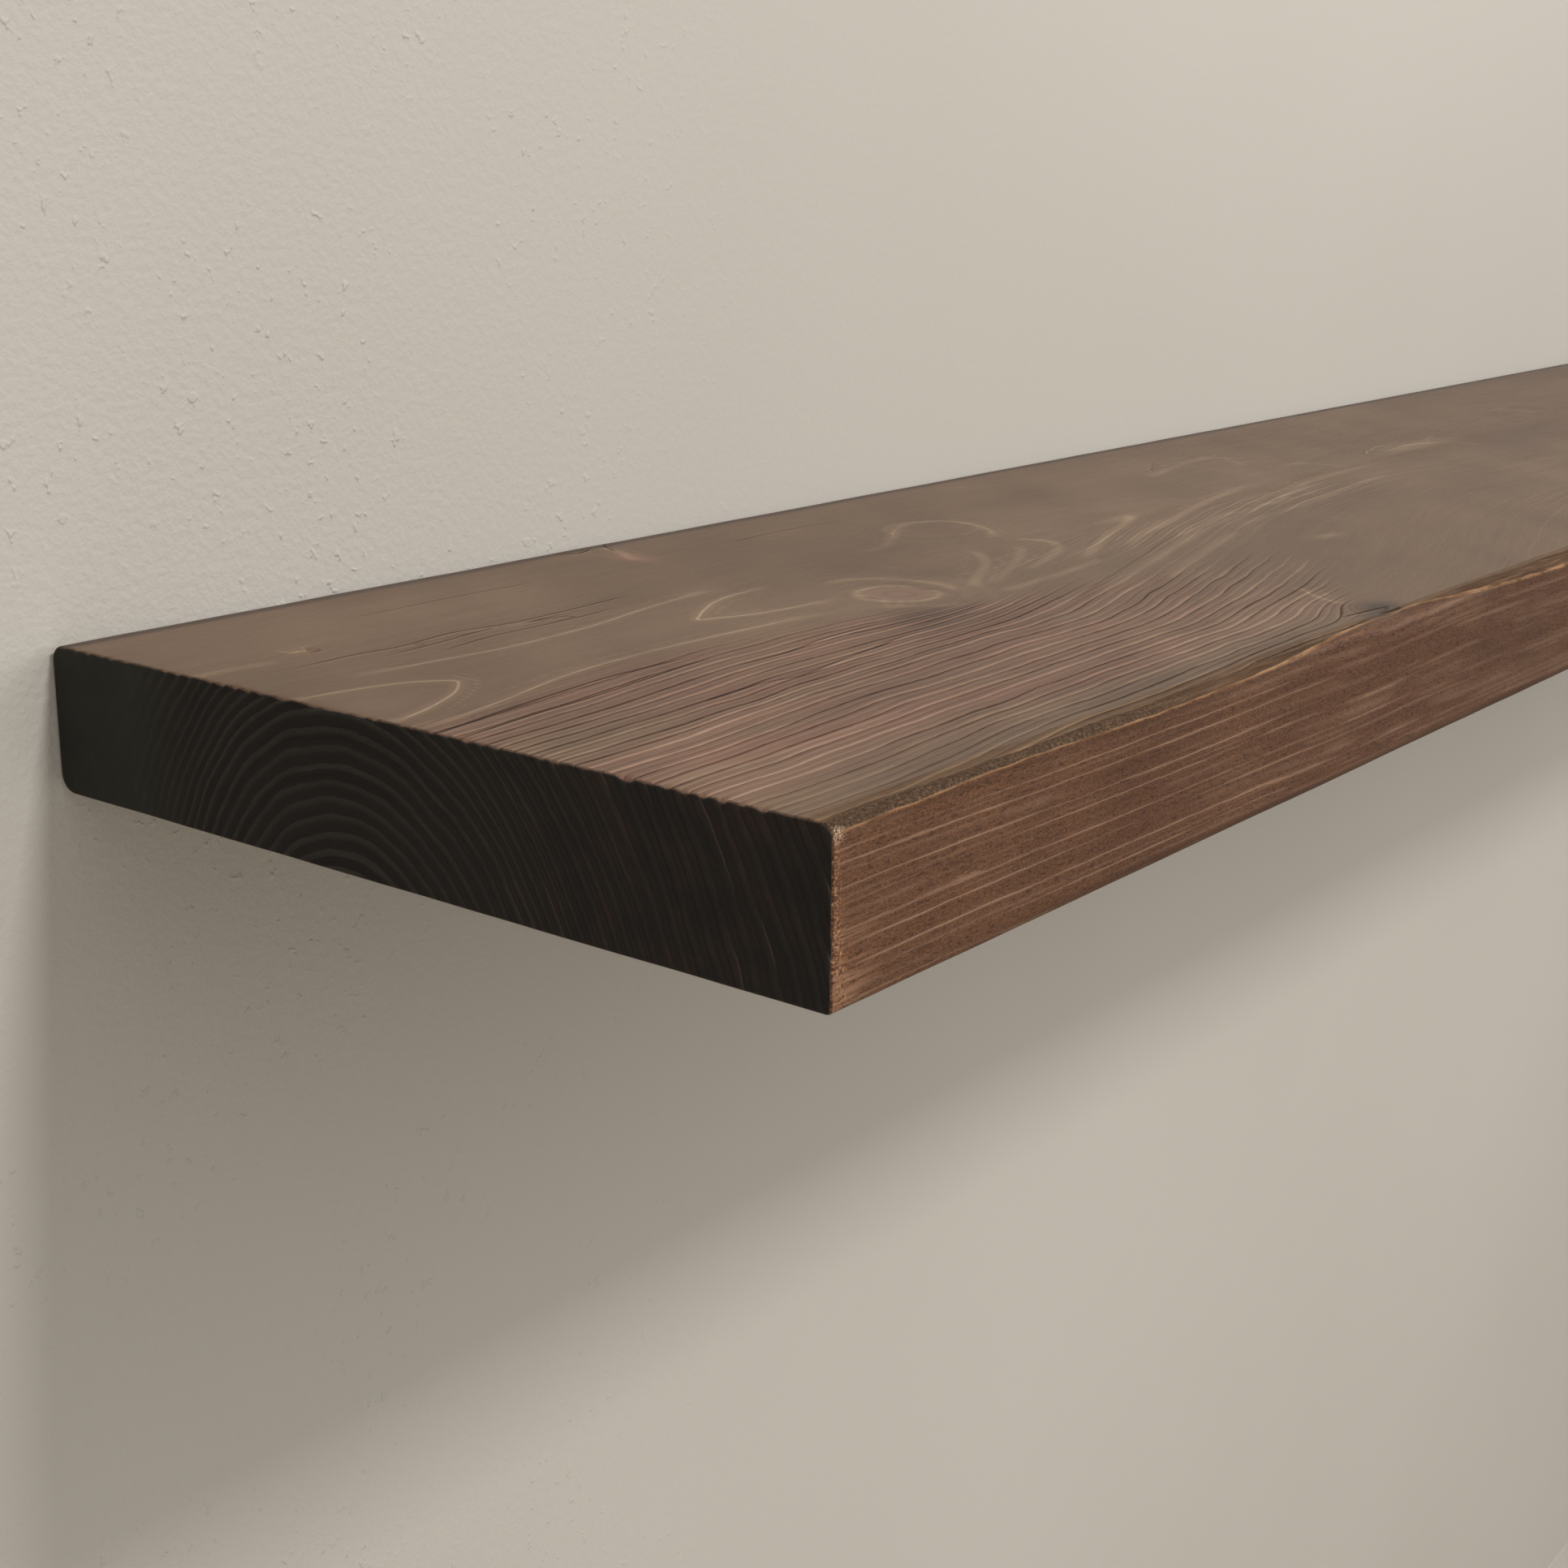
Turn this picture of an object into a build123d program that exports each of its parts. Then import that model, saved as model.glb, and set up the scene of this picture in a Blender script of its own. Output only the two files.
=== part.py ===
"""Floating wall shelf: one solid timber board carried on three concealed steel rods.

Frame, in millimetres: the origin lies on the wall plane, at the middle of the board's
length and of its thickness, which is also the height of the rods' axes. +X runs along the
wall, +Y goes into the wall and +Z is up, so the shelf reaches out towards -Y.
"""

from build123d import *
import math
import os

# The board: one planed softwood plank.
board_length = 1200.0
board_depth = 225.0
board_thickness = 35.0
rear_top_radius = 3.8
rear_bottom_radius = 4.5
front_bottom_radius = 1.2
end_arris_chamfer = 0.6

# The waney top front arris, where the plank reaches the outside of the log.
# Its width is measured on the top face and its drop on the front face.
wane_width = 3.1
wane_drop = 1.5
wane_ripple = 0.4
wane_ripple_length = 115.0
wane_roundness = 0.14
wane_station_pitch = 20.0
wane_facets = 3
wane_overcut = 6.0
wane_overcut_angle = 15.0
# Hollows in it: distance from the left end, half length, extra width and extra drop.
knot_hollow = (240.0, 26.0, 1.4, 0.6)
worn_hollow = (335.0, 45.0, 1.1, 0.9)
middle_hollow = (655.0, 55.0, 1.6, 1.3)
right_hollow = (938.0, 30.0, 1.5, 1.6)
wane_hollows = (knot_hollow, worn_hollow, middle_hollow, right_hollow)

# The concealed supports: a rod welded into a small plate that is screwed to the wall.
support_names = ("left", "middle", "right")
end_to_outer_support = 200.0
plate_length = 80.0
plate_thickness = 4.0
plate_corner_clip = 4.0
recess_land = 1.0
recess_clearance = 1.0
recess_floor_gap = 1.0
rod_diameter = 12.0
spigot_diameter = 9.0
spigot_clearance = 0.02
spigot_sink = 0.3
weld_leg = 2.0
wood_in_front_of_bore = 66.0
bore_clearance = 0.3
bore_end_gap = 5.0
bore_mouth_margin = 0.5

# Countersunk wall screws and the plugs that they spread in the wall.
screw_diameter = 5.0
screw_length = 60.0
screw_head_diameter = 9.2
screw_head_sink = 0.1
screw_from_plate_end = 10.0
screw_hole_clearance = 0.25
countersink_gap = 0.1
cross_recess_width = 1.1
cross_recess_span = 4.6
cross_recess_depth = 2.2
plug_diameter = 8.0
plug_length = 50.0
plug_set_back = 2.5
plug_bore_clearance = 0.1
plug_slot_width = 1.2
plug_collar_length = 10.0

# Lock screws: grub screws in brass inserts in the underside, one under each rod.
lock_from_wall = 60.0
lock_screw_diameter = 6.0
lock_screw_sink = 1.45
lock_tip_gap = 0.05
thread_clearance = 0.05
hex_socket_across_flats = 3.0
hex_socket_depth = 3.5
insert_diameter = 9.0
insert_sink = 0.5
insert_clearance = 0.05
insert_slot_width = 1.2
insert_slot_depth = 1.5
insert_below_bore = 2.2

# How far a cutting shape runs past the face that it starts from.
overrun = 1.0

# Sizes that follow from those above.
half_thickness = board_thickness / 2
rear_radius = max(rear_top_radius, rear_bottom_radius)
recess_height = board_thickness - 2 * (rear_radius + recess_land)
recess_length = plate_length + 2 * recess_clearance
recess_depth = plate_thickness + recess_floor_gap
recess_corner_radius = plate_corner_clip + recess_clearance
plate_height = recess_height - 2 * recess_clearance
screw_offset = plate_length / 2 - screw_from_plate_end
rod_radius = rod_diameter / 2
spigot_radius = spigot_diameter / 2
bore_radius = rod_radius + bore_clearance
bore_depth = board_depth - wood_in_front_of_bore
bore_mouth_radius = bore_radius + weld_leg + bore_mouth_margin
rod_reach = bore_depth - bore_end_gap
screw_radius = screw_diameter / 2
screw_head_radius = screw_head_diameter / 2
screw_head_height = screw_head_radius - screw_radius
screw_head_face = screw_head_sink - plate_thickness
screw_hole_radius = screw_radius + screw_hole_clearance
countersink_radius = screw_head_radius + screw_head_sink + countersink_gap
countersink_depth = countersink_radius - screw_hole_radius
plug_radius = plug_diameter / 2
plug_bore_radius = screw_radius + plug_bore_clearance
plug_end = plug_set_back + plug_length
lock_screw_radius = lock_screw_diameter / 2
lock_screw_tip = -rod_radius - lock_tip_gap
lock_screw_foot = -half_thickness + lock_screw_sink
insert_radius = insert_diameter / 2
insert_foot = -half_thickness + insert_sink
insert_top = -bore_radius - insert_below_bore


def support_place(index):
    """A support's distance from the middle of the board, along X."""
    outer = board_length / 2 - end_to_outer_support
    return outer * (2 * index / (len(support_names) - 1) - 1)


def turned_into_wall(profile, x):
    """A piece turned about a line into the wall at x, from its (radius, y) points."""
    outline = Polyline([(radius, y) for radius, y in profile], close=True)
    return Pos(x, 0, 0) * revolve(make_face(outline), Axis.Y)


def turned_upright(profile, x):
    """A piece turned about a lock screw's upright axis at x, from its (radius, z) points."""
    outline = Polyline([(radius, 0, z) for radius, z in profile], close=True)
    return Pos(x, -lock_from_wall, 0) * revolve(make_face(outline), Axis.Z)


def slab_on_wall(outline, rear_y, front_y, x):
    """A flat piece parallel to the wall, of one outline from rear_y to front_y."""
    facing_wall = Plane(origin=(x, rear_y, 0), x_dir=(1, 0, 0), z_dir=(0, -1, 0))
    return extrude(facing_wall * outline, rear_y - front_y)


def wane_size(x):
    """The wane's width and drop at a distance x from the board's left end."""
    ripple = wane_ripple * math.cos(2 * math.pi * x / wane_ripple_length)
    width = wane_width + ripple
    drop = wane_drop + ripple
    for centre, half_length, extra_width, extra_drop in wane_hollows:
        share = math.exp(-(((x - centre) / half_length) ** 2))
        width += extra_width * share
        drop += extra_drop * share
    return width, drop


def wane_section(x):
    """What the wane takes off at x: facets on a crowned arc, closed outside the corner."""
    width, drop = wane_size(x)
    chord = math.hypot(width, drop)
    along = Vector(0, width, drop) / chord
    outward = Vector(0, -drop, width) / chord
    rise = wane_roundness * chord
    radius = (chord**2 / 4 + rise**2) / (2 * rise)
    corner = Vector(x - board_length / 2, -board_depth, half_thickness)
    centre = corner + Vector(0, width, -drop) / 2 + outward * (rise - radius)
    reach = math.asin(chord / 2 / radius) + math.radians(wane_overcut_angle)
    points = [corner + Vector(0, -wane_overcut, wane_overcut)]
    for step in range(wane_facets + 1):
        angle = reach * (1 - 2 * step / wane_facets)
        points.append(centre + (outward * math.cos(angle) + along * math.sin(angle)) * radius)
    return Face(Wire.make_polygon(points))


def wane_cutter():
    """The wane along the whole front, lofted span by span through evenly spaced sections."""
    count = math.ceil(board_length / wane_station_pitch)
    pitch = board_length / count
    sections = [wane_section(pitch * step) for step in range(-1, count + 2)]
    return loft(sections, ruled=True)


def rounded_corner(outline, rearward, upward, radius):
    """The board's cross-section with its furthest corner that way rounded."""
    corner = outline.vertices().sort_by(lambda v: rearward * v.X + upward * v.Y)[-1]
    return fillet(corner, radius)


def board_blank():
    """The plank: its cross-section run along the wall, with its ends eased."""
    outline = Pos(-board_depth / 2, 0) * Rectangle(board_depth, board_thickness)
    outline = rounded_corner(outline, 1, 1, rear_top_radius)
    outline = rounded_corner(outline, 1, -1, rear_bottom_radius)
    outline = rounded_corner(outline, -1, -1, front_bottom_radius)
    left_end = Plane(origin=(-board_length / 2, 0, 0), x_dir=(0, 1, 0), z_dir=(1, 0, 0))
    blank = extrude(left_end * outline, board_length)
    return chamfer(blank.faces().filter_by(Axis.X).edges(), end_arris_chamfer)


def support_cutter(x):
    """One support's room in the board: the plate's recess and the rod's bore."""
    outline = RectangleRounded(recess_length, recess_height, recess_corner_radius)
    recess = slab_on_wall(outline, overrun, -recess_depth, x)
    mouth_depth = recess_depth + bore_mouth_radius - bore_radius
    bore = turned_into_wall(
        [
            (0, 0),
            (bore_mouth_radius, 0),
            (bore_mouth_radius, -recess_depth),
            (bore_radius, -mouth_depth),
            (bore_radius, -bore_depth),
            (0, -bore_depth),
        ],
        x,
    )
    return recess + bore


def lock_cutter(x):
    """One lock screw's room: the insert's hole, drilled from below right into the rod's bore."""
    hole_radius = insert_radius + insert_clearance
    foot = -half_thickness - overrun
    return turned_upright([(0, foot), (hole_radius, foot), (hole_radius, 0), (0, 0)], x)


def shelf_board():
    """The board: the blank, its wane, and what each support and lock screw needs."""
    board = board_blank() - wane_cutter()
    for index in range(len(support_names)):
        x = support_place(index)
        board -= support_cutter(x) + lock_cutter(x)
    return board


def wall_plate(x):
    """A support's plate with clipped corners, the spigot's hole and two screw holes."""
    outline = chamfer(Rectangle(plate_length, plate_height).vertices(), plate_corner_clip)
    plate = slab_on_wall(outline, 0, -plate_thickness, x)
    in_front = -plate_thickness - overrun
    hole_radius = spigot_radius + spigot_clearance
    spigot_hole = [(0, overrun), (hole_radius, overrun), (hole_radius, in_front), (0, in_front)]
    plate -= turned_into_wall(spigot_hole, x)
    screw_hole = [
        (0, overrun),
        (screw_hole_radius, overrun),
        (screw_hole_radius, countersink_depth - plate_thickness),
        (countersink_radius, -plate_thickness),
        (countersink_radius, in_front),
        (0, in_front),
    ]
    for side in (-1, 1):
        plate -= turned_into_wall(screw_hole, x + side * screw_offset)
    return plate


def support_rod(x):
    """A rod with the spigot that goes through its plate and the weld at its root."""
    return turned_into_wall(
        [
            (0, -spigot_sink),
            (spigot_radius, -spigot_sink),
            (spigot_radius, -plate_thickness),
            (rod_radius + weld_leg, -plate_thickness),
            (rod_radius, -plate_thickness - weld_leg),
            (rod_radius, -rod_reach),
            (0, -rod_reach),
        ],
        x,
    )


def wall_screw(x):
    """A countersunk screw, its head just below the plate's face."""
    tip = screw_head_face + screw_length
    screw = turned_into_wall(
        [
            (0, screw_head_face),
            (screw_head_radius, screw_head_face),
            (screw_radius, screw_head_face + screw_head_height),
            (screw_radius, tip),
            (0, tip),
        ],
        x,
    )
    slot = Box(cross_recess_span, 2 * cross_recess_depth, cross_recess_width)
    cross = slot + Rot(0, 90, 0) * slot
    return screw - Pos(x, screw_head_face, 0) * cross


def wall_plug(x):
    """A nylon plug set just below the wall's surface and split up to its collar."""
    plug = turned_into_wall(
        [
            (plug_bore_radius, plug_set_back),
            (plug_radius, plug_set_back),
            (plug_radius, plug_end),
            (plug_bore_radius, plug_end),
        ],
        x,
    )
    split_length = plug_length - plug_collar_length
    split = Box(plug_slot_width, split_length + overrun, plug_diameter + overrun)
    split_middle = plug_end + overrun / 2 - split_length / 2
    return plug - Pos(x, split_middle, 0) * split


def thread_insert(x):
    """A brass insert, slotted for driving, flush within its seat in the underside."""
    inner_radius = lock_screw_radius + thread_clearance
    insert = turned_upright(
        [
            (inner_radius, insert_foot),
            (insert_radius, insert_foot),
            (insert_radius, insert_top),
            (inner_radius, insert_top),
        ],
        x,
    )
    slot = Box(insert_diameter + overrun, insert_slot_width, 2 * insert_slot_depth)
    return insert - Pos(x, -lock_from_wall, insert_foot) * slot


def lock_screw(x):
    """A grub screw whose tip bears on the rod, with a hexagonal socket in its foot."""
    screw = turned_upright(
        [
            (0, lock_screw_foot),
            (lock_screw_radius, lock_screw_foot),
            (lock_screw_radius, lock_screw_tip),
            (0, lock_screw_tip),
        ],
        x,
    )
    hexagon = RegularPolygon(hex_socket_across_flats / 2, 6, major_radius=False)
    foot = Pos(x, -lock_from_wall, lock_screw_foot - overrun)
    return screw - foot * extrude(hexagon, overrun + hex_socket_depth)


def shelf_nodes():
    """Every piece of the shelf, by the name of its node."""
    nodes = {"shelf_board": shelf_board()}
    for index, name in enumerate(support_names):
        x = support_place(index)
        nodes[f"wall_plate_{name}"] = wall_plate(x)
        nodes[f"support_rod_{name}"] = support_rod(x)
        nodes[f"thread_insert_{name}"] = thread_insert(x)
        nodes[f"lock_screw_{name}"] = lock_screw(x)
        for number, side in ((1, -1), (2, 1)):
            screw_x = x + side * screw_offset
            nodes[f"wall_screw_{name}_{number}"] = wall_screw(screw_x)
            nodes[f"wall_plug_{name}_{number}"] = wall_plug(screw_x)
    return nodes


os.makedirs("parts", exist_ok=True)
for node_name, piece in shelf_nodes().items():
    export_step(piece, f"parts/{node_name}.step")
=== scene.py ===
"""Looks of the floating wall shelf: a brushed, dark-stained softwood board on concealed supports.

Everything is worked out in millimetres and written to meshes in metres, in the frame of the
CAD model: +X along the wall, +Y into the wall, +Z up.
"""

import math

import bpy
import numpy as np
from mathutils import Matrix, Vector
from mathutils.geometry import delaunay_2d_cdt


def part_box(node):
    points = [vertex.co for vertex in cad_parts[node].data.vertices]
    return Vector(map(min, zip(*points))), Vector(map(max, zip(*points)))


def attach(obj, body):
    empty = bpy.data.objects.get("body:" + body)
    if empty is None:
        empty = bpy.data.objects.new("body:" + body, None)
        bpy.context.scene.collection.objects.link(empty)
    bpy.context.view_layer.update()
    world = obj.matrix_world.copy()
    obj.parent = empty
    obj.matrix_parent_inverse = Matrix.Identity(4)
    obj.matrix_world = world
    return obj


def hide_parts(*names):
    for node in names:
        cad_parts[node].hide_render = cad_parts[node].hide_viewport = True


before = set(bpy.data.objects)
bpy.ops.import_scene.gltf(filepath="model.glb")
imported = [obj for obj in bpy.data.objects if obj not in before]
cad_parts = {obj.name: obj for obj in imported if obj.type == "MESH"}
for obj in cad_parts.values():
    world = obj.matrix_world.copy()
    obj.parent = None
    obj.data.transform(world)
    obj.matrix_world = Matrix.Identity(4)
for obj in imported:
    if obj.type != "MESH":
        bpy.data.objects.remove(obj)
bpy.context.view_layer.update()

MM = 0.001
SUPPORTS = ("left", "middle", "right")

# ---------------------------------------------------------------- the board's form

board_lo, board_hi = (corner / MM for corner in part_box("shelf_board"))
left_end = board_lo.x
length = board_hi.x - board_lo.x
depth = board_hi.y - board_lo.y
half = (board_hi.z - board_lo.z) / 2

rear_top_radius = 3.8
rear_bottom_radius = 4.5
front_bottom_radius = 1.2
end_easing = 0.7

# The waney top front arris, by the same rule as the CAD board's.
wane_width = 3.1
wane_drop = 1.5
wane_ripple = 0.4
wane_ripple_length = 115.0
wane_roundness = 0.14
wane_hollows = (  # distance from the left end, half length, extra width, extra drop
    (240.0, 26.0, 1.4, 0.6),
    (335.0, 45.0, 1.1, 0.9),
    (655.0, 55.0, 1.6, 1.3),
    (938.0, 30.0, 1.5, 1.6),
)

# Mesh spacing, finer where the grain is brushed and near the left end.
rear_pitch = 1.4
brushed_pitch = 0.72
brushed_from = 112.0
bottom_pitch = 5.0
front_pitch = 0.75


def bell(x, centre, reach):
    """1 at centre, falling to 0 around it."""
    return np.exp(-(((x - centre) / reach) ** 2))


def wane_size(x):
    """The wane's width and drop at distances x from the left end."""
    ripple = wane_ripple * np.cos(2 * np.pi * x / wane_ripple_length)
    width = wane_width + ripple
    drop = wane_drop + ripple
    for centre, half_length, extra_width, extra_drop in wane_hollows:
        share = bell(x, centre, half_length)
        width = width + extra_width * share
        drop = drop + extra_drop * share
    return width, drop


def spaced(start, stop, pitch):
    """Evenly spaced values from start to stop, without the last."""
    count = max(1, round(abs(stop - start) / pitch))
    return list(np.linspace(start, stop, count + 1)[:-1])


def arc(centre, radius, start, stop, count, last=False):
    """Points on an arc between two angles in degrees, with or without the last."""
    angles = np.radians(np.linspace(start, stop, count + 1))
    angles = angles if last else angles[:-1]
    return [(centre[0] + radius * math.cos(a), centre[1] + radius * math.sin(a)) for a in angles]


def section(x):
    """The board's outline at x, as (y, z) points round from the rear face's upper end."""
    width, drop = wane_size(x)
    top_end = -depth + width
    wane_foot = half - drop
    outline = arc((-rear_top_radius, half - rear_top_radius), rear_top_radius, 0, 90, 6)
    outline += [(y, half) for y in spaced(-rear_top_radius, -brushed_from, rear_pitch)]
    brushed = round((depth - brushed_from - wane_width) / brushed_pitch)
    outline += [(y, half) for y in np.linspace(-brushed_from, top_end, brushed + 1)[:-1]]
    chord = math.hypot(width, drop)
    rise = wane_roundness * chord
    for t in np.linspace(0, 1, 11)[:-1]:
        bow = 4 * t * (1 - t) * rise / chord
        outline.append((top_end - width * t - drop * bow, half - drop * t + width * bow))
    front_end = -half + front_bottom_radius
    rows = round((2 * half - wane_drop) / front_pitch)
    outline += [(-depth, z) for z in np.linspace(wane_foot, front_end, rows + 1)[:-1]]
    corner = (-depth + front_bottom_radius, front_end)
    outline += arc(corner, front_bottom_radius, 180, 270, 4)
    bottom = spaced(-depth + front_bottom_radius, -rear_bottom_radius, bottom_pitch)
    outline += [(y, -half) for y in bottom]
    corner = (-rear_bottom_radius, -half + rear_bottom_radius)
    outline += arc(corner, rear_bottom_radius, 270, 360, 6)
    outline += [(0, z) for z in spaced(-half + rear_bottom_radius, half - rear_top_radius, 2.5)]
    return np.array(outline)


def inset(outline, distance):
    """An outline moved inwards by a small distance."""
    along = np.roll(outline, -1, axis=0) - np.roll(outline, 1, axis=0)
    along /= np.linalg.norm(along, axis=1, keepdims=True)
    inward = np.stack([-along[:, 1], along[:, 0]], axis=1)
    return outline + inward * distance


def stations():
    """Distances from the left end at which the board's outline is set, with its inset there."""
    eased = [end_easing * (1 - math.cos(math.radians(a))) for a in (0, 30, 60, 90)]
    insets = [end_easing * (1 - math.sin(math.radians(a))) for a in (0, 30, 60, 90)]
    near = [1.1, 1.6, 2.3, 3.2, 4.4, 6.0, 8.0]
    run = spaced(10.0, 345.0, 2.4) + spaced(345.0, 600.0, 8.0)
    run += spaced(600.0, length - 6.0, 15.0)
    far = [length - d for d in (6.0, 3.0, 1.4)]
    left = list(zip(eased, insets))
    right = [(length - x, d) for x, d in reversed(left)]
    return left + [(x, 0.0) for x in near + run + far] + right


def cap(outline, pitch):
    """Triangles over an end's outline, with points a pitch apart inside it."""
    ys = np.arange(-depth + pitch, -pitch / 2, pitch)
    zs = np.linspace(-half, half, round(2 * half / pitch) + 1)[1:-1]
    grid = np.array([(y, z) for y in ys for z in zs])
    y, z = grid[:, 0], grid[:, 1]
    room = 0.55 * pitch
    clear = (y > -depth + room + 0.3) & (y < -room) & (abs(z) < half - room - 0.3)
    for corner_y, corner_z, reach in (
        (0, half, rear_top_radius),
        (0, -half, rear_bottom_radius),
        (-depth, half, 5.5),
        (-depth, -half, front_bottom_radius + 1),
    ):
        clear &= (abs(y - corner_y) + abs(z - corner_z)) > reach + room
    inside = [Vector(p) for p in grid[clear]]
    rim = [Vector(p) for p in outline]
    edges = [(i, (i + 1) % len(rim)) for i in range(len(rim))]
    points, _, faces, origins, _, _ = delaunay_2d_cdt(rim + inside, edges, [], 1, 1e-5)
    return points, faces, origins


def board_mesh():
    """The board as a closed mesh, before its holes and its relief."""
    verts = []
    rings = stations()
    for x, d in rings:
        outline = inset(section(x), d) if d else section(x)
        verts += [(left_end + x, y, z) for y, z in outline]
    count = len(outline)
    faces = tube(len(rings), count)
    for index, pitch in ((0, 1.0), (len(rings) - 1, 1.6)):
        x, d = rings[index]
        points, triangles, origins = cap(inset(section(x), d), pitch)
        names = []
        for point, source in zip(points, origins):
            if source and source[0] < count:
                names.append(index * count + source[0])
            else:
                names.append(len(verts))
                verts.append((left_end + x, point.x, point.y))
        for triangle in triangles:
            face = [names[i] for i in triangle]
            faces.append(face if index else face[::-1])
    return mesh_of("board form", verts, faces)


# ---------------------------------------------------------------- small mesh helpers


def mesh_of(name, verts, faces):
    """A mesh from points in mm."""
    mesh = bpy.data.meshes.new(name)
    mesh.from_pydata([(x * MM, y * MM, z * MM) for x, y, z in verts], [], faces)
    mesh.validate()
    mesh.update()
    return mesh


def tube(rows, count):
    """Faces between rows of points, count to a row, each row closed on itself."""
    faces = []
    for low in range(0, (rows - 1) * count, count):
        for i in range(count):
            j = (i + 1) % count
            faces.append((low + i, low + j, low + count + j, low + count + i))
    return faces


def lids(rows, count):
    """The faces that close such a tube's first and last row."""
    points = range(rows * count)
    return [points[:count][::-1], points[-count:]]


def add_object(name, data):
    """An object that shows a mesh, a lamp or a camera, linked into the scene."""
    made = bpy.data.objects.new(name, data)
    bpy.context.scene.collection.objects.link(made)
    return made


def turned(name, profile, place, axis, segments=64, shape=None):
    """A closed mesh turned about an axis through place, from (radius, distance) points.

    shape, where it's given, is a factor on the radius by the angle and the distance.
    """
    verts = []
    for radius, along in profile:
        for s in range(segments):
            angle = 2 * math.pi * s / segments
            reach = radius * shape(angle, along) if shape else radius
            verts.append((reach * math.cos(angle), reach * math.sin(angle), along))
    rows = len(profile)
    mesh = bpy.data.meshes.new(name)
    mesh.from_pydata(verts, [], tube(rows, segments) + lids(rows, segments))
    turn = Vector((0, 0, 1)).rotation_difference(Vector(axis)).to_matrix().to_4x4()
    mesh.transform(Matrix.Scale(MM, 4) @ Matrix.Translation(place) @ turn)
    mesh.update()
    return add_object(name, mesh)


def slab(name, box_lo, box_hi, corner_radius):
    """A closed flat piece between two corners, its corners rounded in the X-Z plane."""
    outline = []
    for side_x, side_z, start in ((1, 1, 0), (-1, 1, 90), (-1, -1, 180), (1, -1, 270)):
        centre_x = (box_hi.x if side_x > 0 else box_lo.x) - side_x * corner_radius
        centre_z = (box_hi.z if side_z > 0 else box_lo.z) - side_z * corner_radius
        outline += arc((centre_x, centre_z), corner_radius, start, start + 90, 8, last=True)
    count = len(outline)
    verts = [(x, box_hi.y, z) for x, z in outline] + [(x, box_lo.y, z) for x, z in outline]
    return add_object(name, mesh_of(name, verts, lids(2, count) + tube(2, count)))


def boolean(target, cutter, operation):
    """Applies a boolean of cutter to target, and removes the cutter."""
    step = target.modifiers.new("boolean", "BOOLEAN")
    step.operation = operation
    step.object = cutter
    step.solver = "EXACT"
    shown = target.evaluated_get(bpy.context.evaluated_depsgraph_get())
    made = bpy.data.meshes.new_from_object(shown)
    target.modifiers.clear()
    target.data = made
    bpy.data.objects.remove(cutter)


recess_clearance = 1.0
recess_corner_radius = 5.0
bore_clearance = 0.3
bore_end_gap = 5.0
mouth_margin = 0.5
insert_clearance = 0.05
overrun = 1.0


def support_room(name, raw):
    """What one support and its lock screw take out of the board."""
    plate_lo, plate_hi = (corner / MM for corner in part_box(f"wall_plate_{name}"))
    rod_lo, rod_hi = (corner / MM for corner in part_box(f"support_rod_{name}"))
    insert_lo, insert_hi = (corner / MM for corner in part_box(f"thread_insert_{name}"))
    rod_radius = -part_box(f"lock_screw_{name}")[1].z / MM
    margin = Vector((recess_clearance, 0, recess_clearance))
    recess_lo = Vector((plate_lo.x, plate_lo.y - recess_clearance, plate_lo.z)) - margin
    recess_hi = Vector((plate_hi.x, overrun, plate_hi.z)) + margin
    room = slab("room", recess_lo, recess_hi, recess_corner_radius)
    x = (rod_lo.x + rod_hi.x) / 2
    mouth = (rod_hi.x - rod_lo.x) / 2 + bore_clearance + mouth_margin
    bore_radius = rod_radius + bore_clearance
    mouth_depth = -recess_lo.y + mouth - bore_radius
    profile = [
        (mouth, 0), (mouth, -recess_lo.y), (bore_radius, mouth_depth),
        (bore_radius, -rod_lo.y + bore_end_gap),
    ]
    boolean(room, turned("bore", profile, (x, 0, 0), (0, -1, 0)), "UNION")
    lock_y = (insert_lo.y + insert_hi.y) / 2
    seat = (insert_hi.x - insert_lo.x) / 2 + insert_clearance
    profile = [(seat, -overrun), (seat, half - rod_radius / 2)]
    boolean(room, turned("hole", profile, (x, lock_y, -half), (0, 0, 1)), "UNION")
    room.data.materials.append(raw)
    return room


# ---------------------------------------------------------------- the fixings' form

weld_leg = 2.0
weld_ripples = 26
weld_ripple_depth = 0.035
weld_bulge = 0.1
lock_pitch = 1.0
lock_socket_radius = 1.73
lock_socket_depth = 3.5
screw_pitch = 2.2
cross_span = 4.6
cross_width = 1.1
cross_depth = 2.2
plug_bore_radius = 2.6
plug_slot_width = 1.2
plug_collar = 10.0
plug_barb_pitch = 3.4
plug_barb = 0.5
sharp_angle = 35


def stepped(points, step):
    """A profile with more points between its own, no further apart than step."""
    made = []
    for (radius_a, along_a), (radius_b, along_b) in zip(points, points[1:]):
        count = max(1, math.ceil(abs(along_b - along_a) / step))
        for i in range(count):
            t = i / count
            made.append((radius_a + t * (radius_b - radius_a), along_a + t * (along_b - along_a)))
    return made + [points[-1]]


def thread(pitch, share, start, stop):
    """Cuts a thread, as a share of the radius, between two distances along the axis."""

    def shape(angle, along):
        phase = (along / pitch - angle / (2 * math.pi)) % 1
        inside = min(along - start, stop - along) / pitch
        return 1 - share * abs(2 * phase - 1) * min(max(inside, 0), 1)

    return shape


def settle(made, node, body, material):
    """Lets a piece stand for a CAD node, on its body and with its material."""
    made.name = made.data.name = f"shown_{node}"
    made.data.materials.clear()
    made.data.materials.append(material)
    made.data.polygons.foreach_set("use_smooth", [True] * len(made.data.polygons))
    made.data.set_sharp_from_angle(angle=math.radians(sharp_angle))
    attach(made, body)
    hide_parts(node)


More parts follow.
